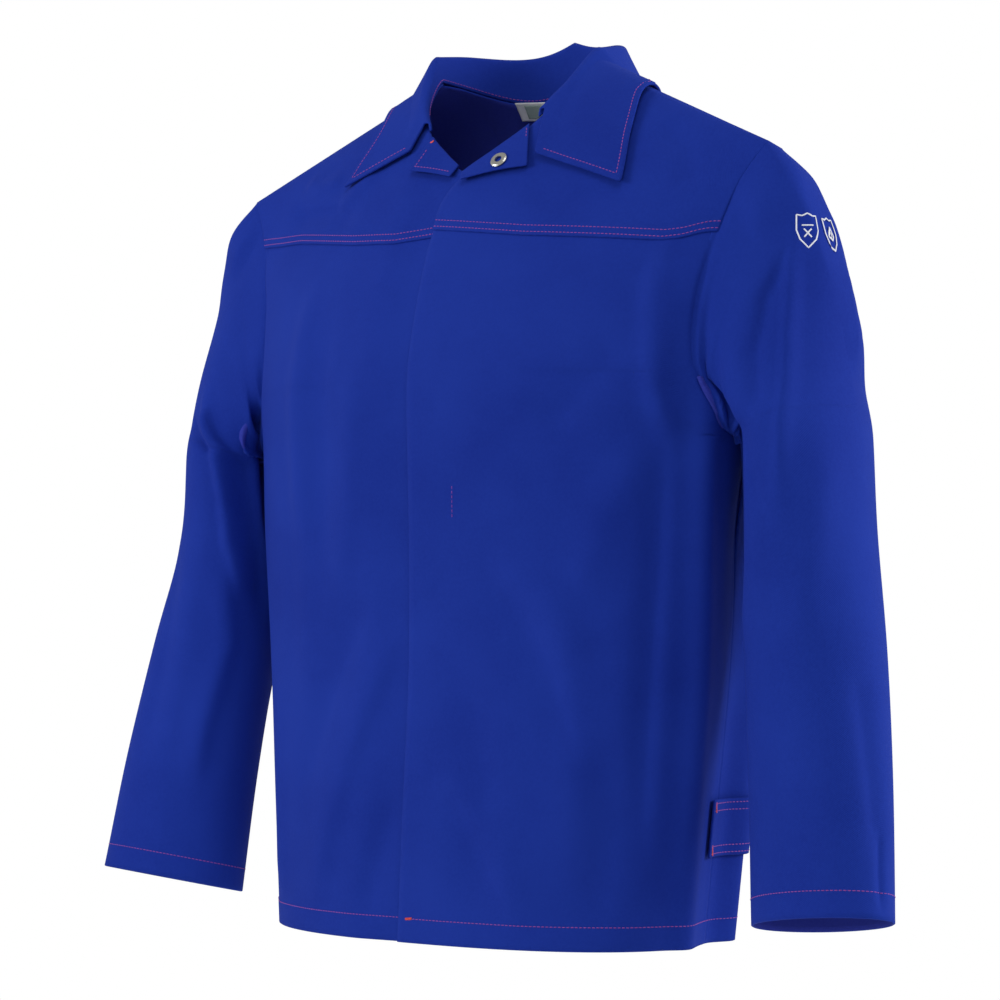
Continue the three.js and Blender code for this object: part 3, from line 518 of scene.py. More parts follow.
def front_grid(side, low_rows=120, arm_rows=52, across=96):
    """Hem to yoke seam, and a tuck that runs on under the yoke."""
    t_low = np.linspace(0, 1, low_rows + 1)
    t_arm = np.linspace(0, 1, arm_rows + 1)[1:]
    tuck = np.arange(1, TUCK_ROWS + 1) / TUCK_ROWS
    z_out = mix(-BACK_LENGTH, -ARMPIT_DEPTH, t_low)
    z_in = np.concatenate([z_out, mix(-ARMPIT_DEPTH, -YOKE_DEPTH, t_arm), -YOKE_DEPTH + SEAM_TUCK * tuck])
    x_in = np.full(len(z_in), -float(OVERLAP))
    if side > 0:
        x_in = mix(x_in, HALF_NECK * OPENING["x"][0], ease(-YOKE_DEPTH - EDGE_BEND, -YOKE_DEPTH, z_in))
    low = (np.full(low_rows + 1, 90.0), level_at(side, "front", np.full(low_rows + 1, 90.0), z_out))
    arm = armhole(side, "front", fall_of(side, "front", np.concatenate([t_arm, 1 + TUCK_CLIMB * tuck])))
    outer = tuple(np.concatenate([p, q]) for p, q in zip(low, arm))
    grid = front_panel(side, body_place("front", x_in, z_in), outer, across)
    return sew_line(side, grid, len(z_in) - 1 - TUCK_ROWS, ease(*SEAM_PULL, z_in))


def yoke_grid(side, rows=76, across=96):
    """Yoke seam to shoulder line, between the neck opening and the armhole."""
    t = np.linspace(0, 1, rows + 1)
    x, z = opening(t)
    if side < 0:
        x = mix(-OVERLAP, x, ease(0, OVERLAP_END, t))
    angle, level = body_place("front", x, z)
    angle[-1], level[-1] = neck_angle("front"), 2
    outer = armhole(side, "front", fall_of(side, "front", 1 + t))
    return sew_line(side, front_panel(side, (angle, level), outer, across), 0, (1 - t) ** 1.3)


def back_grid(low_rows=100, arm_rows=90, half_columns=96):
    """The whole back; each column climbs to the neck curve or to the shoulder seam."""
    neck, base = neck_angle("back"), back_neck_level(1)
    halves = []
    for side in (-1, 1):
        t_low = np.linspace(0, 1, low_rows + 1)
        climb = 2 * np.linspace(0, 1, arm_rows + 1)[1:]
        z_out = mix(-BACK_LENGTH, -ARMPIT_DEPTH, t_low)
        low = (np.full(low_rows + 1, 90.0), level_at(side, "back", np.full(low_rows + 1, 90.0), z_out))
        arm = armhole(side, "back", fall_of(side, "back", climb))
        angle_out = np.concatenate([low[0], arm[0]])
        level_out = np.concatenate([low[1], arm[1]])
        share = np.linspace(0, 1, half_columns + 1)
        top_angle = share * angle_out[-1]
        bend = np.sqrt(np.maximum(1 - (np.minimum(top_angle, neck) / neck) ** 2, 0))
        top = np.where(top_angle < neck, mix(base, 2, 1 - bend), 2.0)
        # the middle climbs evenly in height, the outer column with the armhole
        z_in = np.concatenate([z_out, mix(-ARMPIT_DEPTH, 0, climb / 2)])
        level_in = level_at(side, "back", np.zeros(len(z_in)), z_in) / base
        level = mix(level_in[:, None], level_out[:, None] / 2, share[None, :] ** 1.5) * top[None, :]
        angle = share[None, :] * angle_out[:, None]
        halves.append(body_point(side, "back", angle, level))
    right, left = halves
    return np.concatenate([right[:, ::-1], left[:, 1:]], 1)


def beside_body(side, point, amount):
    """Keeps a sleeve clear of the body below the armpit."""
    back = point[..., 1] >= MIDDLE_Y
    out = point.copy()
    for face in ("front", "back"):
        mask = back if face == "back" else ~back
        p = point[mask]
        z = np.minimum(p[:, 2], -ARMPIT_DEPTH)
        level = 1 - (-z / BACK_LENGTH - CAP_START[face]) / (1 - CAP_START[face])
        low, high = np.zeros(len(p)), np.full(len(p), 90.0)
        for _ in range(20):
            half = (low + high) / 2
            y = body_point(side, face, half, level)[:, 1]
            inside = y < p[:, 1] if face == "front" else y > p[:, 1]
            low, high = np.where(inside, half, low), np.where(inside, high, half)
        wall = np.abs(body_point(side, face, low, level)[:, 0]) + SLEEVE_CLEARANCE
        fade = ease(-ARMPIT_DEPTH * 0.82, -ARMPIT_DEPTH * 0.985, p[:, 2])
        push = np.maximum(wall - side * p[:, 0], 0) * fade * amount[mask]
        out[mask, 0] = p[:, 0] + side * push
    return out


def sleeve_ring(side, along, turn, pit):
    """Points of a sleeve's ring, at a share of its length and a turn round it."""
    def get(column):
        return from_table(SLEEVE, "along", along, column)
    fallen = np.where(get("down") < 0, ARMPIT_DEPTH * 1.12, SLEEVE_DEPTH) * get("down")
    centre = np.stack([np.abs(pit[0]) + SLEEVE_OUT * get("left" if side > 0 else "right"),
                       pit[1] - SLEEVE_FORWARD * get("forward"), -ARMPIT_DEPTH - fallen], -1)
    tilt, pitch, yaw = np.radians(get("tilt")), np.radians(get("pitch")), np.radians(get("yaw"))
    u = np.stack([np.cos(tilt) * np.cos(yaw), np.cos(tilt) * np.sin(yaw), np.sin(tilt)], -1)
    v = np.stack([np.cos(pitch) * np.sin(yaw), -np.cos(pitch) * np.cos(yaw), np.sin(pitch)], -1)
    p = (centre + u * (SLEEVE_HALF_WIDTH * get("wide") * np.cos(turn))[..., None]
         + v * (SLEEVE_HALF_THICKNESS * get("thick") * np.sin(turn))[..., None])
    p[..., 0] *= side
    return p


def sleeve_grid(side, rings=170, columns=150):
    """Rings from the armhole, where they follow its edge, to the cuff."""
    turn = np.arange(columns) * 360.0 / columns
    front = turn <= 180
    climb = np.where(front, 2 * (1 - turn / 180), 2 * (turn - 180) / 180)
    af, lf = armhole(side, "front", fall_of(side, "front", climb))
    ab, lb = armhole(side, "back", fall_of(side, "back", climb))
    start = np.where(front[:, None], body_point(side, "front", af, lf), body_point(side, "back", ab, lb))
    pit_level = level_at(side, "front", np.array(90.0), np.array(-float(ARMPIT_DEPTH)))
    pit = body_point(side, "front", 90.0, pit_level)
    along = np.linspace(0, 1, rings + 1) ** 1.05
    a, t = np.meshgrid(along, np.radians(turn), indexing="ij")
    ring = sleeve_ring(side, a, t, pit)
    first = sleeve_ring(side, np.zeros_like(t[:1]), t[:1], pit)
    keep = 1 - ease(0, ARMHOLE_HOLD, a)
    grid = ring + (start[None] - first) * keep[..., None]
    grid = beside_body(side, grid, ease(0, 0.05, a))
    # the cap tucks in under the edge of the body
    tuck = []
    for share in (1.0, 0.66, 0.33):
        before = body_point(side, "front", np.maximum(af - CAP_TUCK_ANGLE * share, 0), lf)
        behind = body_point(side, "back", np.maximum(ab - CAP_TUCK_ANGLE * share, 0), lb)
        tuck.append(np.where(front[:, None], before, behind))
    grid = np.concatenate([np.stack(tuck), grid], 0)
    return grid, np.concatenate([[-0.03, -0.02, -0.01], along]), turn


def neck_seam(side, along):
    """The collar's seam, from the back's middle to the front end."""
    quarter = np.radians(90 * np.clip(along / 0.5, 0, 1))
    level = mix(back_neck_level(side), 2, 1 - np.cos(quarter))
    behind = body_point(side, "back", neck_angle("back") * np.sin(quarter), level)
    t = np.clip((along - 0.5) / 0.5, 0, 1)
    x, z = opening(mix(1, 0.66, t))
    angle, level = body_place("front", x, z)
    angle, level = np.where(t <= 0, neck_angle("front"), angle), np.where(t <= 0, 2.0, level)
    before = body_point(side, "front", angle, level)
    return np.where((along <= 0.5)[:, None], behind, before)


def height_at(face, x, y):
    """Height of the shoulders over a place seen from above."""
    low, high = np.full(x.shape, -BACK_LENGTH * CAP_START[face]), shoulder_line(x)
    for _ in range(22):
        half = (low + high) / 2
        angle, level = body_place(face, np.abs(x), half)
        at = body_point(1, face, angle, level)[..., 1]
        inside = at < y if face == "front" else at > y
        low, high = np.where(inside, half, low), np.where(inside, high, half)
    return (low + high) / 2


def keep_off(p, clearance):
    """Lifts points square off the shoulders, to a clearance at least."""
    p = p.copy()
    for _ in range(3):
        share = np.abs(p[..., 0]) / HALF_SHOULDER
        front = p[..., 1] < MIDDLE_Y + SHOULDER_BACK - SHOULDER_FORWARD * share

        def high(dx, dy):
            x, y = p[..., 0] + dx, p[..., 1] + dy
            return np.where(front, height_at("front", x, y), height_at("back", x, y))
        z = high(0, 0)
        gx, gy = (high(2, 0) - high(-2, 0)) / 4, (high(0, 2) - high(0, -2)) / 4
        size = np.sqrt(1 + gx ** 2 + gy ** 2)
        off = (p[..., 2] - z) / size
        push = np.maximum(clearance - off, 0) / size
        p += np.stack([-gx, -gy, np.ones_like(gx)], -1) * push[..., None]
    return p


def collar_grid(half=110, stand_rows=10, roll_rows=12, leaf_rows=36):
    """Stand, roll and leaf of the collar, from the neck seam to the leaf's edge."""
    signed = np.linspace(-1, 1, 2 * half + 1)
    side = np.where(signed < 0, -1, 1)
    along = np.abs(signed)

    def get(column):
        right, left = (from_table(COLLAR[which], "along", along, column) for which in (-1, 1))
        return np.where(signed < 0, right, left)
    seam = np.where((signed < 0)[:, None], neck_seam(-1, along), neck_seam(1, along))
    face, lean, fall = np.radians(get("face")), np.radians(get("lean")), np.radians(get("fall"))
    out = np.stack([side * np.cos(face), np.sin(face), 0 * face], -1)
    up = np.array([0, 0, 1.0])
    climb = out * np.sin(lean)[:, None] + up * np.cos(lean)[:, None]
    start = seam + up * CLOTH
    stand = COLLAR_STAND * get("stand")
    rows = [start + climb * (stand * k / stand_rows)[:, None] for k in range(stand_rows + 1)]
    spot = rows[-1]
    begin = np.pi / 2 - lean
    sweep = begin + fall
    for k in range(1, roll_rows + 1):
        middle = begin - sweep * (k - 0.5) / roll_rows
        step = 2 * COLLAR_ROLL * np.sin(sweep / roll_rows / 2)
        spot = spot + out * (np.cos(middle) * step)[:, None] + up * (np.sin(middle) * step)[:, None]
        rows.append(spot)
    leaf = COLLAR_LEAF * get("leaf")
    gorge = np.where(signed < 0, GORGE[-1], GORGE[1])
    bow = get("bow")
    for k in range(1, leaf_rows + 1):
        t = k / leaf_rows
        p = spot + out * (np.cos(fall) * leaf * t)[:, None] - up * (np.sin(fall) * leaf * t)[:, None]
        b = bow * np.minimum(t / gorge, (1 - t) / (1 - gorge))
        p = p + np.stack([-side * b * BOW_INWARD, -b * BOW_FORWARD, -b], -1)
        rows.append(keep_off(p, LEAF_CLEARANCE))
    return np.stack(rows)


def lapel_point(side, along, u):
    """Front edge turned out: it lies on the yoke and springs off it towards its free edge."""
    x, z = opening(along)
    width = LAPEL_WIDTH * mix(LAPEL_FOOT, 1, (along - 0.25) / 0.35) * LAPEL_SHARE[side]
    point, normal = front_at(side, side * (x + width * u * LAPEL_OUT), z - width * u * LAPEL_DOWN)
    lift = (CLOTH + FACING_CLOTH) / 2 + LAPEL_LIFT + LAPEL_SPRING * u
    return point + normal * np.broadcast_to(lift, along.shape)[..., None]


def lapel_grid(side, steps=60, across=30):
    """The turned-out facing, from its foot to the collar's end."""
    along = np.linspace(LAPEL_START[side], LAPEL_END, steps + 1)
    a, u = np.meshgrid(along, np.linspace(0, 1, across + 1), indexing="ij")
    return lapel_point(side, a, u)


def tab_grid(side, rows=28, columns=60):
    """The tab, wrapped round the body's side over the seam."""
    z, around = np.meshgrid(-TAB_TOP_DEPTH - TAB_HEIGHT * (1 - np.linspace(0, 1, rows + 1)),
                            mix(TAB_START, TAB_END, np.linspace(0, 1, columns + 1)), indexing="ij")

    def spot(bearing):
        fore, aft = np.minimum(bearing, 90), np.minimum(180 - bearing, 90)
        front = body_point(side, "front", fore, level_at(side, "front", fore, z))
        back = body_point(side, "back", aft, level_at(side, "back", aft, z))
        return np.where((bearing <= 90)[..., None], front, back)
    d = spot(around + 1) - spot(around - 1)
    normal = unit(np.stack([-d[..., 1], d[..., 0], 0 * z], -1))
    p = spot(around)
    inward = normal[..., 0] * p[..., 0] + normal[..., 1] * (p[..., 1] - MIDDLE_Y) < 0
    normal = np.where(inward[..., None], -normal, normal)
    return p + normal * (CLOTH + TAB_LIFT[side])


def label_grid(rows=12, columns=60):
    """The label, hung inside the back below the neck seam."""
    x, z = np.meshgrid(LABEL_WIDTH * np.linspace(-0.5, 0.5, columns + 1),
                       -LABEL_DEPTH - LABEL_HEIGHT * (1 - np.linspace(0, 1, rows + 1)), indexing="xy")
    angle, level = body_place("back", np.abs(x), z)
    grid = body_point(1, "back", angle, level)
    grid[..., 0] = x
    n = normals_of(grid)
    n = n * np.where(n[..., 1:2] > 0, -1, 1)
    return grid + n * ((CLOTH + LABEL_CLOTH) / 2 + LABEL_LIFT)


# Finishes
RIB_PITCH, RIB_SLOPE, THREAD_SHARE = 0.0009, 0.62, 0.35
WEAVE_SHARE, DEEP_TONE_END = 0.35, 0.45


def srgb(r, g, b):
    """A colour given in eight-bit screen values, as the shaders take it."""
    shares = [c / 255 for c in (r, g, b)]
    return tuple(c / 12.92 if c <= 0.04045 else ((c + 0.055) / 1.055) ** 2.4 for c in shares) + (1.0,)


def node(tree, kind, **settings):
    """Adds a shader node and sets its sockets or its settings by name."""
    added = tree.nodes.new(kind)
    for key, value in settings.items():
        if key in added.inputs:
            added.inputs[key].default_value = value
        else:
            setattr(added, key, value)
    return added


def reckon(tree, operation, *terms):
    """A maths node whose terms are numbers or the outputs of other nodes."""
    step = node(tree, "ShaderNodeMath", operation=operation)
    for socket, term in zip(step.inputs, terms):
        if isinstance(term, (int, float)):
            socket.default_value = term
        else:
            tree.links.new(term, socket)
    return step.outputs[0]


def new_group(name, inputs, outputs):
    """An empty shader node group with named sockets, and its two ends."""
    group = bpy.data.node_groups.new(name, "ShaderNodeTree")
    for socket_name, kind, value in inputs:
        socket = group.interface.new_socket(socket_name, in_out="INPUT", socket_type=kind)
        if value is not None:
            socket.default_value = value
    for socket_name in outputs:
        group.interface.new_socket(socket_name, in_out="OUTPUT", socket_type="NodeSocketFloat")
    return group, node(group, "NodeGroupInput"), node(group, "NodeGroupOutput")


def twill_group():
    """Diagonal twill of a cotton drill: ribs, single threads and the slubs of the yarn."""
    group, start, end = new_group(
        "cotton_twill_weave",
        [("Vector", "NodeSocketVector", None), ("Rib Pitch", "NodeSocketFloat", RIB_PITCH)],
        ["Height", "Shade"])
    link = group.links.new
    scaled = node(group, "ShaderNodeVectorMath", operation="SCALE")
    link(start.outputs["Vector"], scaled.inputs[0])
    link(reckon(group, "DIVIDE", 1, start.outputs["Rib Pitch"]), scaled.inputs["Scale"])
    parts = node(group, "ShaderNodeSeparateXYZ")
    link(scaled.outputs[0], parts.inputs[0])
    slope = reckon(group, "MULTIPLY_ADD", parts.outputs["Y"], RIB_SLOPE, parts.outputs["X"])
    rib = reckon(group, "SINE", reckon(group, "MULTIPLY", slope, 2 * math.pi))
    single = reckon(group, "SINE", reckon(group, "MULTIPLY", parts.outputs["Y"], 4 * math.pi))
    slub = node(group, "ShaderNodeTexNoise", Scale=0.35, Detail=3.0)
    link(scaled.outputs[0], slub.inputs["Vector"])
    total = reckon(group, "MULTIPLY_ADD", single, THREAD_SHARE, rib)
    uneven = reckon(group, "MULTIPLY", total, slub.outputs["Fac"])
    shade = node(group, "ShaderNodeMapRange")
    shade.inputs["From Min"].default_value = -0.9
    shade.inputs["From Max"].default_value = 0.9
    link(uneven, shade.inputs["Value"])
    link(uneven, end.inputs["Height"])
    link(shade.outputs["Result"], end.inputs["Shade"])
    return group


def wear_group():
    """Slow change of tone over a garment: washing, handling and pressing."""
    group, start, end = new_group(
        "washed_tone",
        [("Vector", "NodeSocketVector", None), ("Size", "NodeSocketFloat", 6.0)],
        ["Tone"])
    link = group.links.new
    slow = node(group, "ShaderNodeTexNoise", Detail=4.0, Roughness=0.55)
    link(start.outputs["Vector"], slow.inputs["Vector"])
    link(start.outputs["Size"], slow.inputs["Scale"])
    fine = node(group, "ShaderNodeTexNoise", Scale=420.0, Detail=2.0)
    link(start.outputs["Vector"], fine.inputs["Vector"])
    both = reckon(group, "MULTIPLY_ADD", fine.outputs["Fac"], 0.35, slow.outputs["Fac"])
    link(both, end.inputs["Tone"])
    return group


TWILL = twill_group()
WEAR = wear_group()


def new_finish(name):
    """A new material, its node tree and its shader."""
    material = bpy.data.materials.new(name)
    material.use_nodes = True
    return material, material.node_tree, material.node_tree.nodes["Principled BSDF"]


def grain(tree, scale, detail):
    """Fine noise that keeps its place on the piece."""
    spot = node(tree, "ShaderNodeTexCoord")
    noise = node(tree, "ShaderNodeTexNoise", Scale=scale, Detail=detail)
    tree.links.new(spot.outputs["Object"], noise.inputs["Vector"])
    return noise.outputs["Fac"]


def two_tone(tree, shader, value, deep, light, deep_end=0.0):
    """Colours the finish from its deep tone to its light one."""
    ramp = node(tree, "ShaderNodeValToRGB")
    first, last = ramp.color_ramp.elements
    first.position, first.color, last.color = deep_end, deep, light
    tree.links.new(value, ramp.inputs["Fac"])
    tree.links.new(ramp.outputs["Color"], shader.inputs["Base Color"])


def surface_relief(tree, shader, height, strength, depth):
    bump = node(tree, "ShaderNodeBump", Strength=strength, Distance=depth)
    tree.links.new(height, bump.inputs["Height"])
    tree.links.new(bump.outputs["Normal"], shader.inputs["Normal"])


def cotton(name, deep, light, sheen, rough=0.82):
    """Cotton drill with its twill along the piece's own flat layout."""
    material, tree, shader = new_finish(name)
    shader.inputs["Roughness"].default_value = rough
    shader.inputs["Sheen Weight"].default_value = sheen
    shader.inputs["Sheen Roughness"].default_value = 0.45
    shader.inputs["Sheen Tint"].default_value = srgb(105, 125, 225)
    shader.inputs["Specular IOR Level"].default_value = 0.12
    flat = node(tree, "ShaderNodeUVMap", uv_map="cloth_uv")
    spot = node(tree, "ShaderNodeTexCoord")
    weave = node(tree, "ShaderNodeGroup", node_tree=TWILL)
    tree.links.new(flat.outputs["UV"], weave.inputs["Vector"])
    tone = node(tree, "ShaderNodeGroup", node_tree=WEAR)
    tree.links.new(spot.outputs["Object"], tone.inputs["Vector"])
    amount = reckon(tree, "MULTIPLY_ADD", weave.outputs["Shade"], WEAVE_SHARE, tone.outputs["Tone"])
    two_tone(tree, shader, amount, deep, light, DEEP_TONE_END)
    surface_relief(tree, shader, weave.outputs["Height"], 0.35, 0.00025)
    return material


def thread(name, deep, light):
    """Twisted sewing thread; the prints and the label share its fine grain."""
    material, tree, shader = new_finish(name)
    shader.inputs["Roughness"].default_value = 0.55
    shader.inputs["Sheen Weight"].default_value = 0.2
    two_tone(tree, shader, grain(tree, 900.0, 1.0), deep, light)
    return material


def nickel(name, base, rough):
    """Plated metal with an uneven polish."""
    material, tree, shader = new_finish(name)
    shader.inputs["Metallic"].default_value = 0.85
    shader.inputs["Base Color"].default_value = base
    scuff = grain(tree, 600.0, 3.0)
    span = node(tree, "ShaderNodeMapRange")
    span.inputs["To Min"].default_value = rough * 0.7
    span.inputs["To Max"].default_value = rough * 1.5
    tree.links.new(scuff, span.inputs["Value"])
    tree.links.new(span.outputs["Result"], shader.inputs["Roughness"])
    surface_relief(tree, shader, scuff, 0.1, 0.0001)
    return material


OUTSIDE = cotton("royal_cotton_twill", srgb(10, 37, 136), srgb(24, 53, 158), 0.12)
# the cloth's reverse side, for the inner faces, with painted light: its colour is set lighter than the
# face so that the shaded inside of the jacket comes out brighter
REVERSE_WITH_PAINTED_LIGHT = cotton("royal_cotton_reverse_and_painted_light", srgb(40, 48, 146), srgb(52, 64, 170), 0.1, 0.9)
RED_THREAD = thread("red_bartack_thread", srgb(214, 60, 62), srgb(245, 92, 80))
SEAM_THREAD = thread("magenta_seam_thread", srgb(118, 44, 150), srgb(176, 64, 165))
METAL = nickel("nickel_snap", srgb(196, 194, 186), 0.28)
WHITE_PRINT = thread("white_heat_print", srgb(224, 228, 240), srgb(240, 242, 250))
LABEL_WHITE = thread("label_border_white", srgb(244, 248, 250), srgb(252, 253, 254))
LABEL_BAND = thread("label_band_grey", srgb(160, 182, 174), srgb(182, 200, 192))


# Cloth pieces of the jacket
SIDES = ((1, "left"), (-1, "right"))
# flat width and length in metres, and area in square metres, of each cut piece
FLAT = {
    "front": (0.33, 0.62, 0.177),
    "front_yoke": (0.28, 0.2, 0.029),
    "sleeve": (0.48, 0.62, 0.187),
    "back_panel": (0.66, 0.78, 0.41),
    "collar": (0.46, 0.12, 0.046),
    "lapel": (0.06, 0.045, 0.0016),
    "side_tab": (0.13, 0.046, 0.0053),
}
made = {}


def make_piece(name, cut, grid, thickness=CLOTH, finishes=(OUTSIDE, REVERSE_WITH_PAINTED_LIGHT), **shape):
    """Makes a cloth piece in place of its plain solid, and keeps its surface for the sewing."""
    made[name] = cloth(name + "_cloth", grid, thickness, finishes, **shape)
    piece = made[name][0]
    width, length, area = FLAT[cut]
    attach(piece, "root")
    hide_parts(name)


def front_relief(side, grid):
    """Step at the yoke seam, thicker hem, folds, the rolled outer edge and the studs' marks."""
    x, z = grid[..., 0], grid[..., 2]
    row = np.arange(grid.shape[0])[:, None] + np.zeros(grid.shape[:2])
    share = np.linspace(0, 1, grid.shape[1])[None, :]
    seam_row = grid.shape[0] - 1 - TUCK_ROWS
    relief = -SEAM_STEP * ease(seam_row - 5, seam_row + 0.5, row)
    relief += HEM_SWELL * (1 - ease(-BACK_LENGTH + HEM_STITCH - 2, -BACK_LENGTH + HEM_STITCH + 2, z))
    for fold in FRONT_FOLDS[side]:
        relief += crease(x, z, *fold)
    roll = ease(*EDGE_ROLL_FOOT, z) * (1 - ease(*EDGE_ROLL_HEAD, z))
    relief += -EDGE_ROLL * ease(EDGE_ROLL_SHARE, 1.0, share) * roll
    if side > 0:
        for depth in STUD_DEPTHS:
            r = np.hypot(x, z + depth)
            relief += STUD_RISE * (1 - ease(*STUD_RIM, r))
            relief -= STUD_DIP * np.exp(-((r - STUD_DIP_RADIUS) / STUD_DIP_WIDTH) ** 2)
    return relief


def sleeve_relief(side, along, turn):
    """Folds of a sleeve, laid out flat along and round it, and the step of its cap under the body."""
    share = along[:, None] + 0 * turn[None, :]
    down = share * FOLD_LENGTH
    around = turn[None, :] * FOLD_GIRTH + 0 * along[:, None]
    relief = -CAP_STEP * (1 - ease(-0.005, 0.02, share))
    for fold in SLEEVE_FOLDS[side]:
        relief = relief + crease(down, around, *fold)
        relief = relief + crease(down, around - 360 * FOLD_GIRTH, *fold)
    return relief


for side, word in SIDES:
    mirrored = side < 0
    grid = front_grid(side)
    make_piece("front_" + word, "front", grid, flip=mirrored, relief=front_relief(side, grid))
    grid = yoke_grid(side)
    relief = sum(crease(grid[..., 0], grid[..., 2], *fold) for fold in YOKE_FOLDS[side])
    make_piece("front_yoke_" + word, "front_yoke", grid, flip=mirrored, relief=relief)
    grid, along, turn = sleeve_grid(side)
    relief = sleeve_relief(side, along, turn)
    make_piece("sleeve_" + word, "sleeve", grid, closed=True, flip=mirrored, relief=relief)

make_piece("back_panel", "back_panel", back_grid(), flip=True)
make_piece("collar", "collar", collar_grid(), COLLAR_CLOTH, (OUTSIDE, OUTSIDE))
for side, word in SIDES:
    make_piece("lapel_" + word, "lapel", lapel_grid(side), FACING_CLOTH, (OUTSIDE, OUTSIDE), flip=side < 0)
    make_piece("side_tab_" + word, "side_tab", tab_grid(side), flip=side < 0)

made["neck_label"] = cloth("neck_label_cloth", label_grid(), LABEL_CLOTH, (LABEL_WHITE, LABEL_WHITE))
label = made["neck_label"][0]
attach(label, "root")
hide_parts("neck_label")

for name in ("snap_socket", "press_stud_1", "press_stud_2", "press_stud_3"):
    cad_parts[name].data.materials.clear()
    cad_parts[name].data.materials.append(METAL)


# Sewing
STITCH_SIDES = 5
# share of the stitch's length, then its thickness and its height in thread radii
STITCH_FORM = ((0, 0.45, -0.45), (0.16, 1, 0.05), (0.5, 1.12, 0.3), (0.84, 1, 0.05), (1.0, 0.45, -0.45))


def resample(path, *others, step):
    """Even steps along a path, and the same places of the rows that go with it."""
    gone = np.concatenate([[0], np.cumsum(np.linalg.norm(np.diff(path, axis=0), axis=1))])
    count = max(int(gone[-1] // step), 1)
    at = np.linspace(0, gone[-1], count + 1)
    return [np.stack([np.interp(at, gone, a[:, i]) for i in range(3)], -1) for a in (path, *others)]


def stitches(runs, length=2.7, pitch=3.4, radius=0.36):
    """Lockstitches along runs of points on the cloth: each a short thread that dips at both ends."""
    points, faces = [], []
    base = 0
    rings, sides = len(STITCH_FORM), STITCH_SIDES
    for path, normal in runs:
        fine, fine_n = resample(np.asarray(path), np.asarray(normal), step=pitch)
        for a, b, n in zip(fine[:-1], fine[1:], fine_n[:-1]):
            n = n / np.linalg.norm(n)
            d = b - a
            span = np.linalg.norm(d)
            if span < 0.5:
                continue
            d = d / span
            s = np.cross(n, d)
            middle = (a + b) / 2
            for t, size, high in STITCH_FORM:
                c = middle + d * (t - 0.5) * length + n * high * radius
                for k in range(sides):
                    w = 2 * math.pi * k / sides
                    points.append(c + (s * math.cos(w) + n * math.sin(w)) * radius * size)
            for r in range(rings - 1):
                for k in range(sides):
                    p, q = base + r * sides + k, base + r * sides + (k + 1) % sides
                    faces.append((p, p + sides, q + sides, q))
            faces.append(tuple(base + k for k in range(sides)))
            faces.append(tuple(base + (rings - 1) * sides + k for k in reversed(range(sides))))
            base += sides * rings
    return np.array(points), faces


def sew(name, runs, material, **sizes):
    points, faces = stitches(runs, **sizes)
    piece = make_object(name, points, faces, materials=[material])
    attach(piece, "root")


def on_grid(middle, normal, rows, cols, lift):
    """Points on the outer face of a piece at fractional rows and columns of its grid."""
    rows, cols = np.broadcast_arrays(np.asarray(rows, float), np.asarray(cols, float))
    r0 = np.clip(np.floor(rows).astype(int), 0, middle.shape[0] - 2)
    c0 = np.clip(np.floor(cols).astype(int), 0, middle.shape[1] - 2)
    fr, fc = (rows - r0)[:, None], (cols - c0)[:, None]

    def at(a):
        return (a[r0, c0] * (1 - fr) * (1 - fc) + a[r0 + 1, c0] * fr * (1 - fc)
                + a[r0, c0 + 1] * (1 - fr) * fc + a[r0 + 1, c0 + 1] * fr * fc)
    n = unit(at(normal))
    return at(middle) + n * lift, n


def inset_rows(middle, distance, from_end=False):
    """Row position, column by column, at a distance from the first or the last row."""
    grid = middle[::-1] if from_end else middle
    steps = np.linalg.norm(np.diff(grid, axis=0), axis=2)
    gone = np.concatenate([np.zeros((1, grid.shape[1])), np.cumsum(steps, 0)])
    rows = np.array([np.interp(distance, gone[:, c], np.arange(len(gone))) for c in range(grid.shape[1])])
    return len(grid) - 1 - rows if from_end else rows


def inset_columns(middle, distance, from_end=False):
    """Column position, row by row, at a distance from the first or the last column."""
    return inset_rows(middle.transpose(1, 0, 2), distance, from_end)


def columns_run(name, rows, first=0, last=None, lift=CLOTH / 2):
    """A run of sewing across a piece at one row position per column."""
    piece, middle, normal = made[name]
    last = middle.shape[1] - 1 if last is None else last
    return on_grid(middle, normal, rows[first:last + 1], np.arange(first, last + 1), lift)


def rows_run(name, cols, first, last, lift):
    """A run of sewing along a piece at one column position per row."""
    piece, middle, normal = made[name]
    return on_grid(middle, normal, np.arange(first, last + 1), cols[first:last + 1], lift)


yoke_runs, hem_runs, cuff_runs, tab_runs = [], [], [], []
for side, word in SIDES:
    yoke, front, sleeve, tab = "front_yoke_" + word, "front_" + word, "sleeve_" + word, "side_tab_" + word
    for inset in SEAM_STITCHES:
        yoke_runs.append(columns_run(yoke, inset_rows(made[yoke][1], inset), 0 if side > 0 else 7))
    hem_runs.append(columns_run(front, inset_rows(made[front][1], HEM_STITCH), 2))
    path, normal = columns_run(sleeve, inset_rows(made[sleeve][1], CUFF_STITCH, True))
    cuff_runs.append((np.concatenate([path, path[:1]]), np.concatenate([normal, normal[:1]])))
    for far in (False, True):
        for inset in TAB_STITCHES:
            tab_runs.append(columns_run(tab, inset_rows(made[tab][1], inset, far), 1))
hem_runs.append(columns_run("back_panel", inset_rows(made["back_panel"][1], HEM_STITCH)))
sew("yoke_seam_stitching", yoke_runs, SEAM_THREAD)
sew("hem_stitching", hem_runs, SEAM_THREAD)
sew("cuff_stitching", cuff_runs, SEAM_THREAD)
sew("side_tab_stitching", tab_runs, SEAM_THREAD)

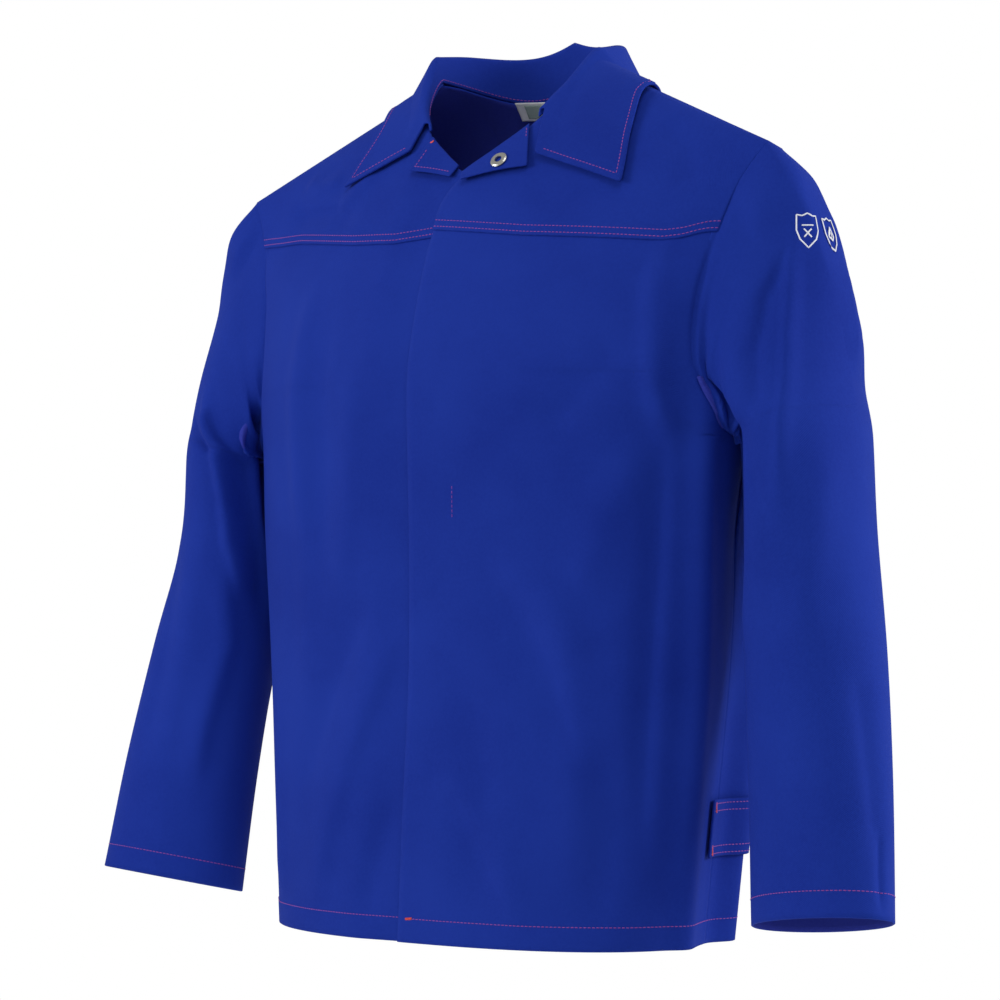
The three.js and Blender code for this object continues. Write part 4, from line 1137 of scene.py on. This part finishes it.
half_collar = COLLAR_CLOTH / 2
piece, middle, normal = made["collar"]
last_column = middle.shape[1] - 1
edge_rows = inset_rows(middle, COLLAR_STITCH, True)
near_end, far_end = inset_columns(middle, COLLAR_STITCH), inset_columns(middle, COLLAR_STITCH, True)
collar_runs = [
    columns_run("collar", edge_rows, int(math.ceil(near_end[-1])), int(far_end[-1]), half_collar),
    rows_run("collar", near_end, 29, int(edge_rows[0]), half_collar),
    rows_run("collar", far_end, 30, int(edge_rows[last_column]), half_collar)]
sew("collar_stitching", collar_runs, SEAM_THREAD)
neck_run = columns_run("collar", inset_rows(middle, 2.0), 20, last_column - 20, half_collar)
sew("neck_seam_stitching", [neck_run], SEAM_THREAD)

half_facing = FACING_CLOTH / 2
piece, middle, normal = made["lapel_right"]
lapel_rows = np.arange(4, middle.shape[0] - 4)
lapel_columns = inset_columns(middle, LAPEL_STITCH, True)[lapel_rows]
top_row = inset_rows(middle, LAPEL_STITCH, True)
lapel_runs = [on_grid(middle, normal, lapel_rows, lapel_columns, half_facing),
              on_grid(middle, normal, top_row[10:27], np.arange(10, 27), half_facing)]
piece, middle, normal = made["lapel_left"]
left_row = np.full(8, middle.shape[0] - 3.0)
lapel_runs.append(on_grid(middle, normal, left_row, np.arange(2, 10), half_facing))
sew("lapel_stitching", lapel_runs, SEAM_THREAD)


def bartack(name, row, column, along, length, width, count, half_cloth=CLOTH / 2):
    """Dense cross threads over a short line, as a bartack is sewn."""
    piece, middle, normal = made[name]
    at, n = on_grid(middle, normal, np.array([row]), np.array([column]), half_cloth + 0.2)
    centre, n = at[0], n[0]
    along = np.array(along, float) / np.linalg.norm(along)
    across = np.cross(n, along)
    across = across / np.linalg.norm(across)
    runs = []
    for k in range(count):
        c = centre + along * length * (k / (count - 1) - 0.5)
        runs.append((np.stack([c - across * width / 2, c + across * width / 2]), np.stack([n, n])))
    return runs


hem_row = inset_rows(made["front_left"][1], HEM_STITCH)[1]
tacks = bartack("front_left", hem_row, 2.0, (1.0, 0, 0.1), 6.0, 2.2, 9)
for side, word in SIDES:
    tab = "side_tab_" + word
    for far in (False, True):
        row = inset_rows(made[tab][1], sum(TAB_STITCHES) / 2, far)[2]
        tacks += bartack(tab, row, 2.2, (0, 0, 1.0), 8.0, 2.2, 11)
lapel_end = made["lapel_right"][1].shape[0] - 6.0
tacks += bartack("lapel_right", lapel_end, 3.0, (1.0, 0, 0.4), 3.5, 2.4, 7, half_facing)
sew("bartacks", tacks, RED_THREAD, length=2.2, pitch=2.0)

piece, middle, normal = made["front_left"]
depths = np.linspace(*POCKET_MARK_DEPTHS, 8)[:, None, None]
away = np.hypot(middle[..., 0][None] - POCKET_MARK_X, middle[..., 2][None] + depths)
spots = [np.unravel_index(cells.argmin(), cells.shape) for cells in away]
mark = (np.array([middle[k] + normal[k] * CLOTH / 2 for k in spots]), np.array([normal[k] for k in spots]))
sew("pocket_mark_stitching", [mark], SEAM_THREAD, radius=0.25)


# Sleeve marks and label band
PRINT_THICKNESS, PRINT_LIFT, PRINT_WIDTH, PRINT_STEP = 0.25, 0.2, 1.2, 1.2
# strokes in millimetres beside and below the middle of a mark
SHIELD = (
    (-8.5, -13), (-4, -12), (0, -14), (4, -12), (8.5, -13), (9, 0),
    (6.5, 8), (0, 15), (-6.5, 8), (-9, 0), (-8.5, -13))
NARROW_SHIELD = tuple((x * 0.78, y) for x, y in SHIELD)
CROSS_MARK = (((-4.5, -4), (4.5, -4)), ((-3, -1), (3, 6)), ((3, -1), (-3, 6)))
DROP_MARK = (((0, -6), (-2.5, 2), (0, 6), (2.5, 2), (0, -6)), ((0, -1), (0, 3)))
# middle of each mark, and its strokes
SLEEVE_MARKS = (
    ((306, -120, -166), (SHIELD,) + CROSS_MARK),
    ((311, -100, -169), (NARROW_SHIELD,) + DROP_MARK))


def ribbon(strokes, place_at):
    """Flat printed strokes on a piece."""
    points, faces = [], []
    for stroke in strokes:
        path = np.array(stroke, float)
        legs = []
        for a, b in zip(path[:-1], path[1:]):
            steps = max(int(np.hypot(*(b - a)) / PRINT_STEP), 1)
            legs.append(np.linspace(a, b, steps, endpoint=False))
        fine = np.concatenate(legs + [path[-1:]])
        d = np.gradient(fine, axis=0)
        d /= np.maximum(np.linalg.norm(d, axis=1, keepdims=True), 1e-9)
        s = np.stack([-d[:, 1], d[:, 0]], -1) * PRINT_WIDTH / 2
        base = len(points)
        for c, o in zip(fine, s):
            for q in (c - o, c + o):
                for high in (PRINT_LIFT, PRINT_LIFT - PRINT_THICKNESS):
                    points.append(place_at(q[0], q[1], high))
        for k in range(len(fine) - 1):
            a = base + 4 * k
            b = a + 4
            faces += [(a, b, b + 2, a + 2), (a + 1, a + 3, b + 3, b + 1)]
            faces += [(a, a + 1, b + 1, b), (a + 2, b + 2, b + 3, a + 3)]
        e = base + 4 * (len(fine) - 1)
        faces += [(base, base + 2, base + 3, base + 1), (e, e + 1, e + 3, e + 2)]
    return np.array(points), faces


def sleeve_spot(centre):
    """Reads a place on the outer face of the left sleeve from millimetres beside and below a middle."""
    piece, middle, normal = made["sleeve_left"]
    flat, flat_n = middle.reshape(-1, 3), normal.reshape(-1, 3)
    home = np.argmin(((flat - centre) ** 2).sum(1))
    n = flat_n[home]
    beside = unit(np.cross([0, 0, 1.0], n))
    below = np.cross(beside, n)
    below = below * (1 if below[2] < 0 else -1)
    start = centre - n * ((centre - flat[home]) @ n)

    def place_at(x, y, lift):
        target = start + beside * x + below * y
        near = np.argsort(((flat - target) ** 2).sum(1))[:6]
        weight = 1 / (0.3 + ((flat[near] - target) ** 2).sum(1))
        p = (flat[near] * weight[:, None]).sum(0) / weight.sum()
        m = unit((flat_n[near] * weight[:, None]).sum(0))
        return target - m * ((target - p) @ m) + m * (CLOTH / 2 + lift)
    return place_at


for number, (centre, strokes) in enumerate(SLEEVE_MARKS, 1):
    points, faces = ribbon(strokes, sleeve_spot(np.array(centre, float)))
    mark = make_object("sleeve_mark_" + str(number), points, faces, materials=[WHITE_PRINT])
    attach(mark, "root")

piece, middle, normal = made["neck_label"]
band_rows = np.linspace(1.6, middle.shape[0] - 2.6, 10)
band_columns = np.linspace(4, middle.shape[1] - 5, 50)
rows, cols = np.meshgrid(band_rows, band_columns, indexing="ij")
band_middle, band_n = on_grid(middle, normal, rows.ravel(), cols.ravel(), LABEL_CLOTH / 2 + 0.15)
if band_n[:, 1].mean() > 0:
    band_middle = band_middle - band_n * (LABEL_CLOTH + 0.3)
band, _, _ = cloth("neck_label_band", band_middle.reshape(10, 50, 3), 0.2, (LABEL_BAND, LABEL_BAND))
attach(band, "root")


# Studio
FLOOR_HALF, FLOOR_Z = 2.6, -1.45
JACKET_MIDDLE = (0, -0.1, -0.38)
corners = [(x * FLOOR_HALF, y * FLOOR_HALF, FLOOR_Z) for x, y in ((-1, -1), (1, -1), (1, 1), (-1, 1))]
floor_mesh = bpy.data.meshes.new("studio_floor")
floor_mesh.from_pydata(corners, [], [(0, 1, 2, 3)])
floor = bpy.data.objects.new("studio_floor", floor_mesh)
bpy.context.scene.collection.objects.link(floor)
floor_finish, tree, shader = new_finish("pale_studio_floor")
shader.inputs["Base Color"].default_value = (0.92, 0.92, 0.92, 1)
shader.inputs["Roughness"].default_value = 0.9
floor_mesh.materials.append(floor_finish)


def softbox(name, azimuth, elevation, distance, size, watts):
    """A soft light that faces the jacket's middle from a bearing round it."""
    light = bpy.data.lights.new(name, "AREA")
    light.shape, light.size, light.energy = "SQUARE", size, watts
    lamp = bpy.data.objects.new(name, light)
    a, e = math.radians(azimuth), math.radians(elevation)
    back = Vector((math.sin(a) * math.cos(e), -math.cos(a) * math.cos(e), math.sin(e)))
    lamp.location = Vector(JACKET_MIDDLE) + back * distance
    lamp.rotation_mode = "QUATERNION"
    lamp.rotation_quaternion = (-back).to_track_quat("-Z", "Y")
    bpy.context.scene.collection.objects.link(lamp)


softbox("left_softbox", -38, 14, 2.8, 1.1, 34)
softbox("right_softbox", 112, 16, 2.8, 1.0, 44)
softbox("top_softbox", 40, 56, 3.0, 1.4, 20)

# white behind the jacket for the camera, and a weaker light from all round it
world = bpy.data.worlds.new("studio_surround")
bpy.context.scene.world = world
world.use_nodes = True
tree = world.node_tree
tree.nodes.clear()
out = node(tree, "ShaderNodeOutputWorld")
seen = node(tree, "ShaderNodeBackground", Color=(1, 1, 1, 1), Strength=1.0)
lit = node(tree, "ShaderNodeBackground", Color=(1, 1, 1, 1), Strength=0.34)
path = node(tree, "ShaderNodeLightPath")
both = node(tree, "ShaderNodeMixShader")
tree.links.new(path.outputs["Is Camera Ray"], both.inputs["Fac"])
tree.links.new(lit.outputs[0], both.inputs[1])
tree.links.new(seen.outputs[0], both.inputs[2])
tree.links.new(both.outputs[0], out.inputs["Surface"])
bpy.context.scene.view_settings.view_transform = "Standard"

camera_data = bpy.data.cameras.new("photo_camera")
camera_data.sensor_width, camera_data.lens = 36, 95.2
camera = bpy.data.objects.new("photo_camera", camera_data)
camera.location = (1.3114, -1.9846, -0.485)
camera.rotation_euler = (math.radians(92.81), 0, math.radians(35))
bpy.context.scene.collection.objects.link(camera)
bpy.context.scene.camera = camera
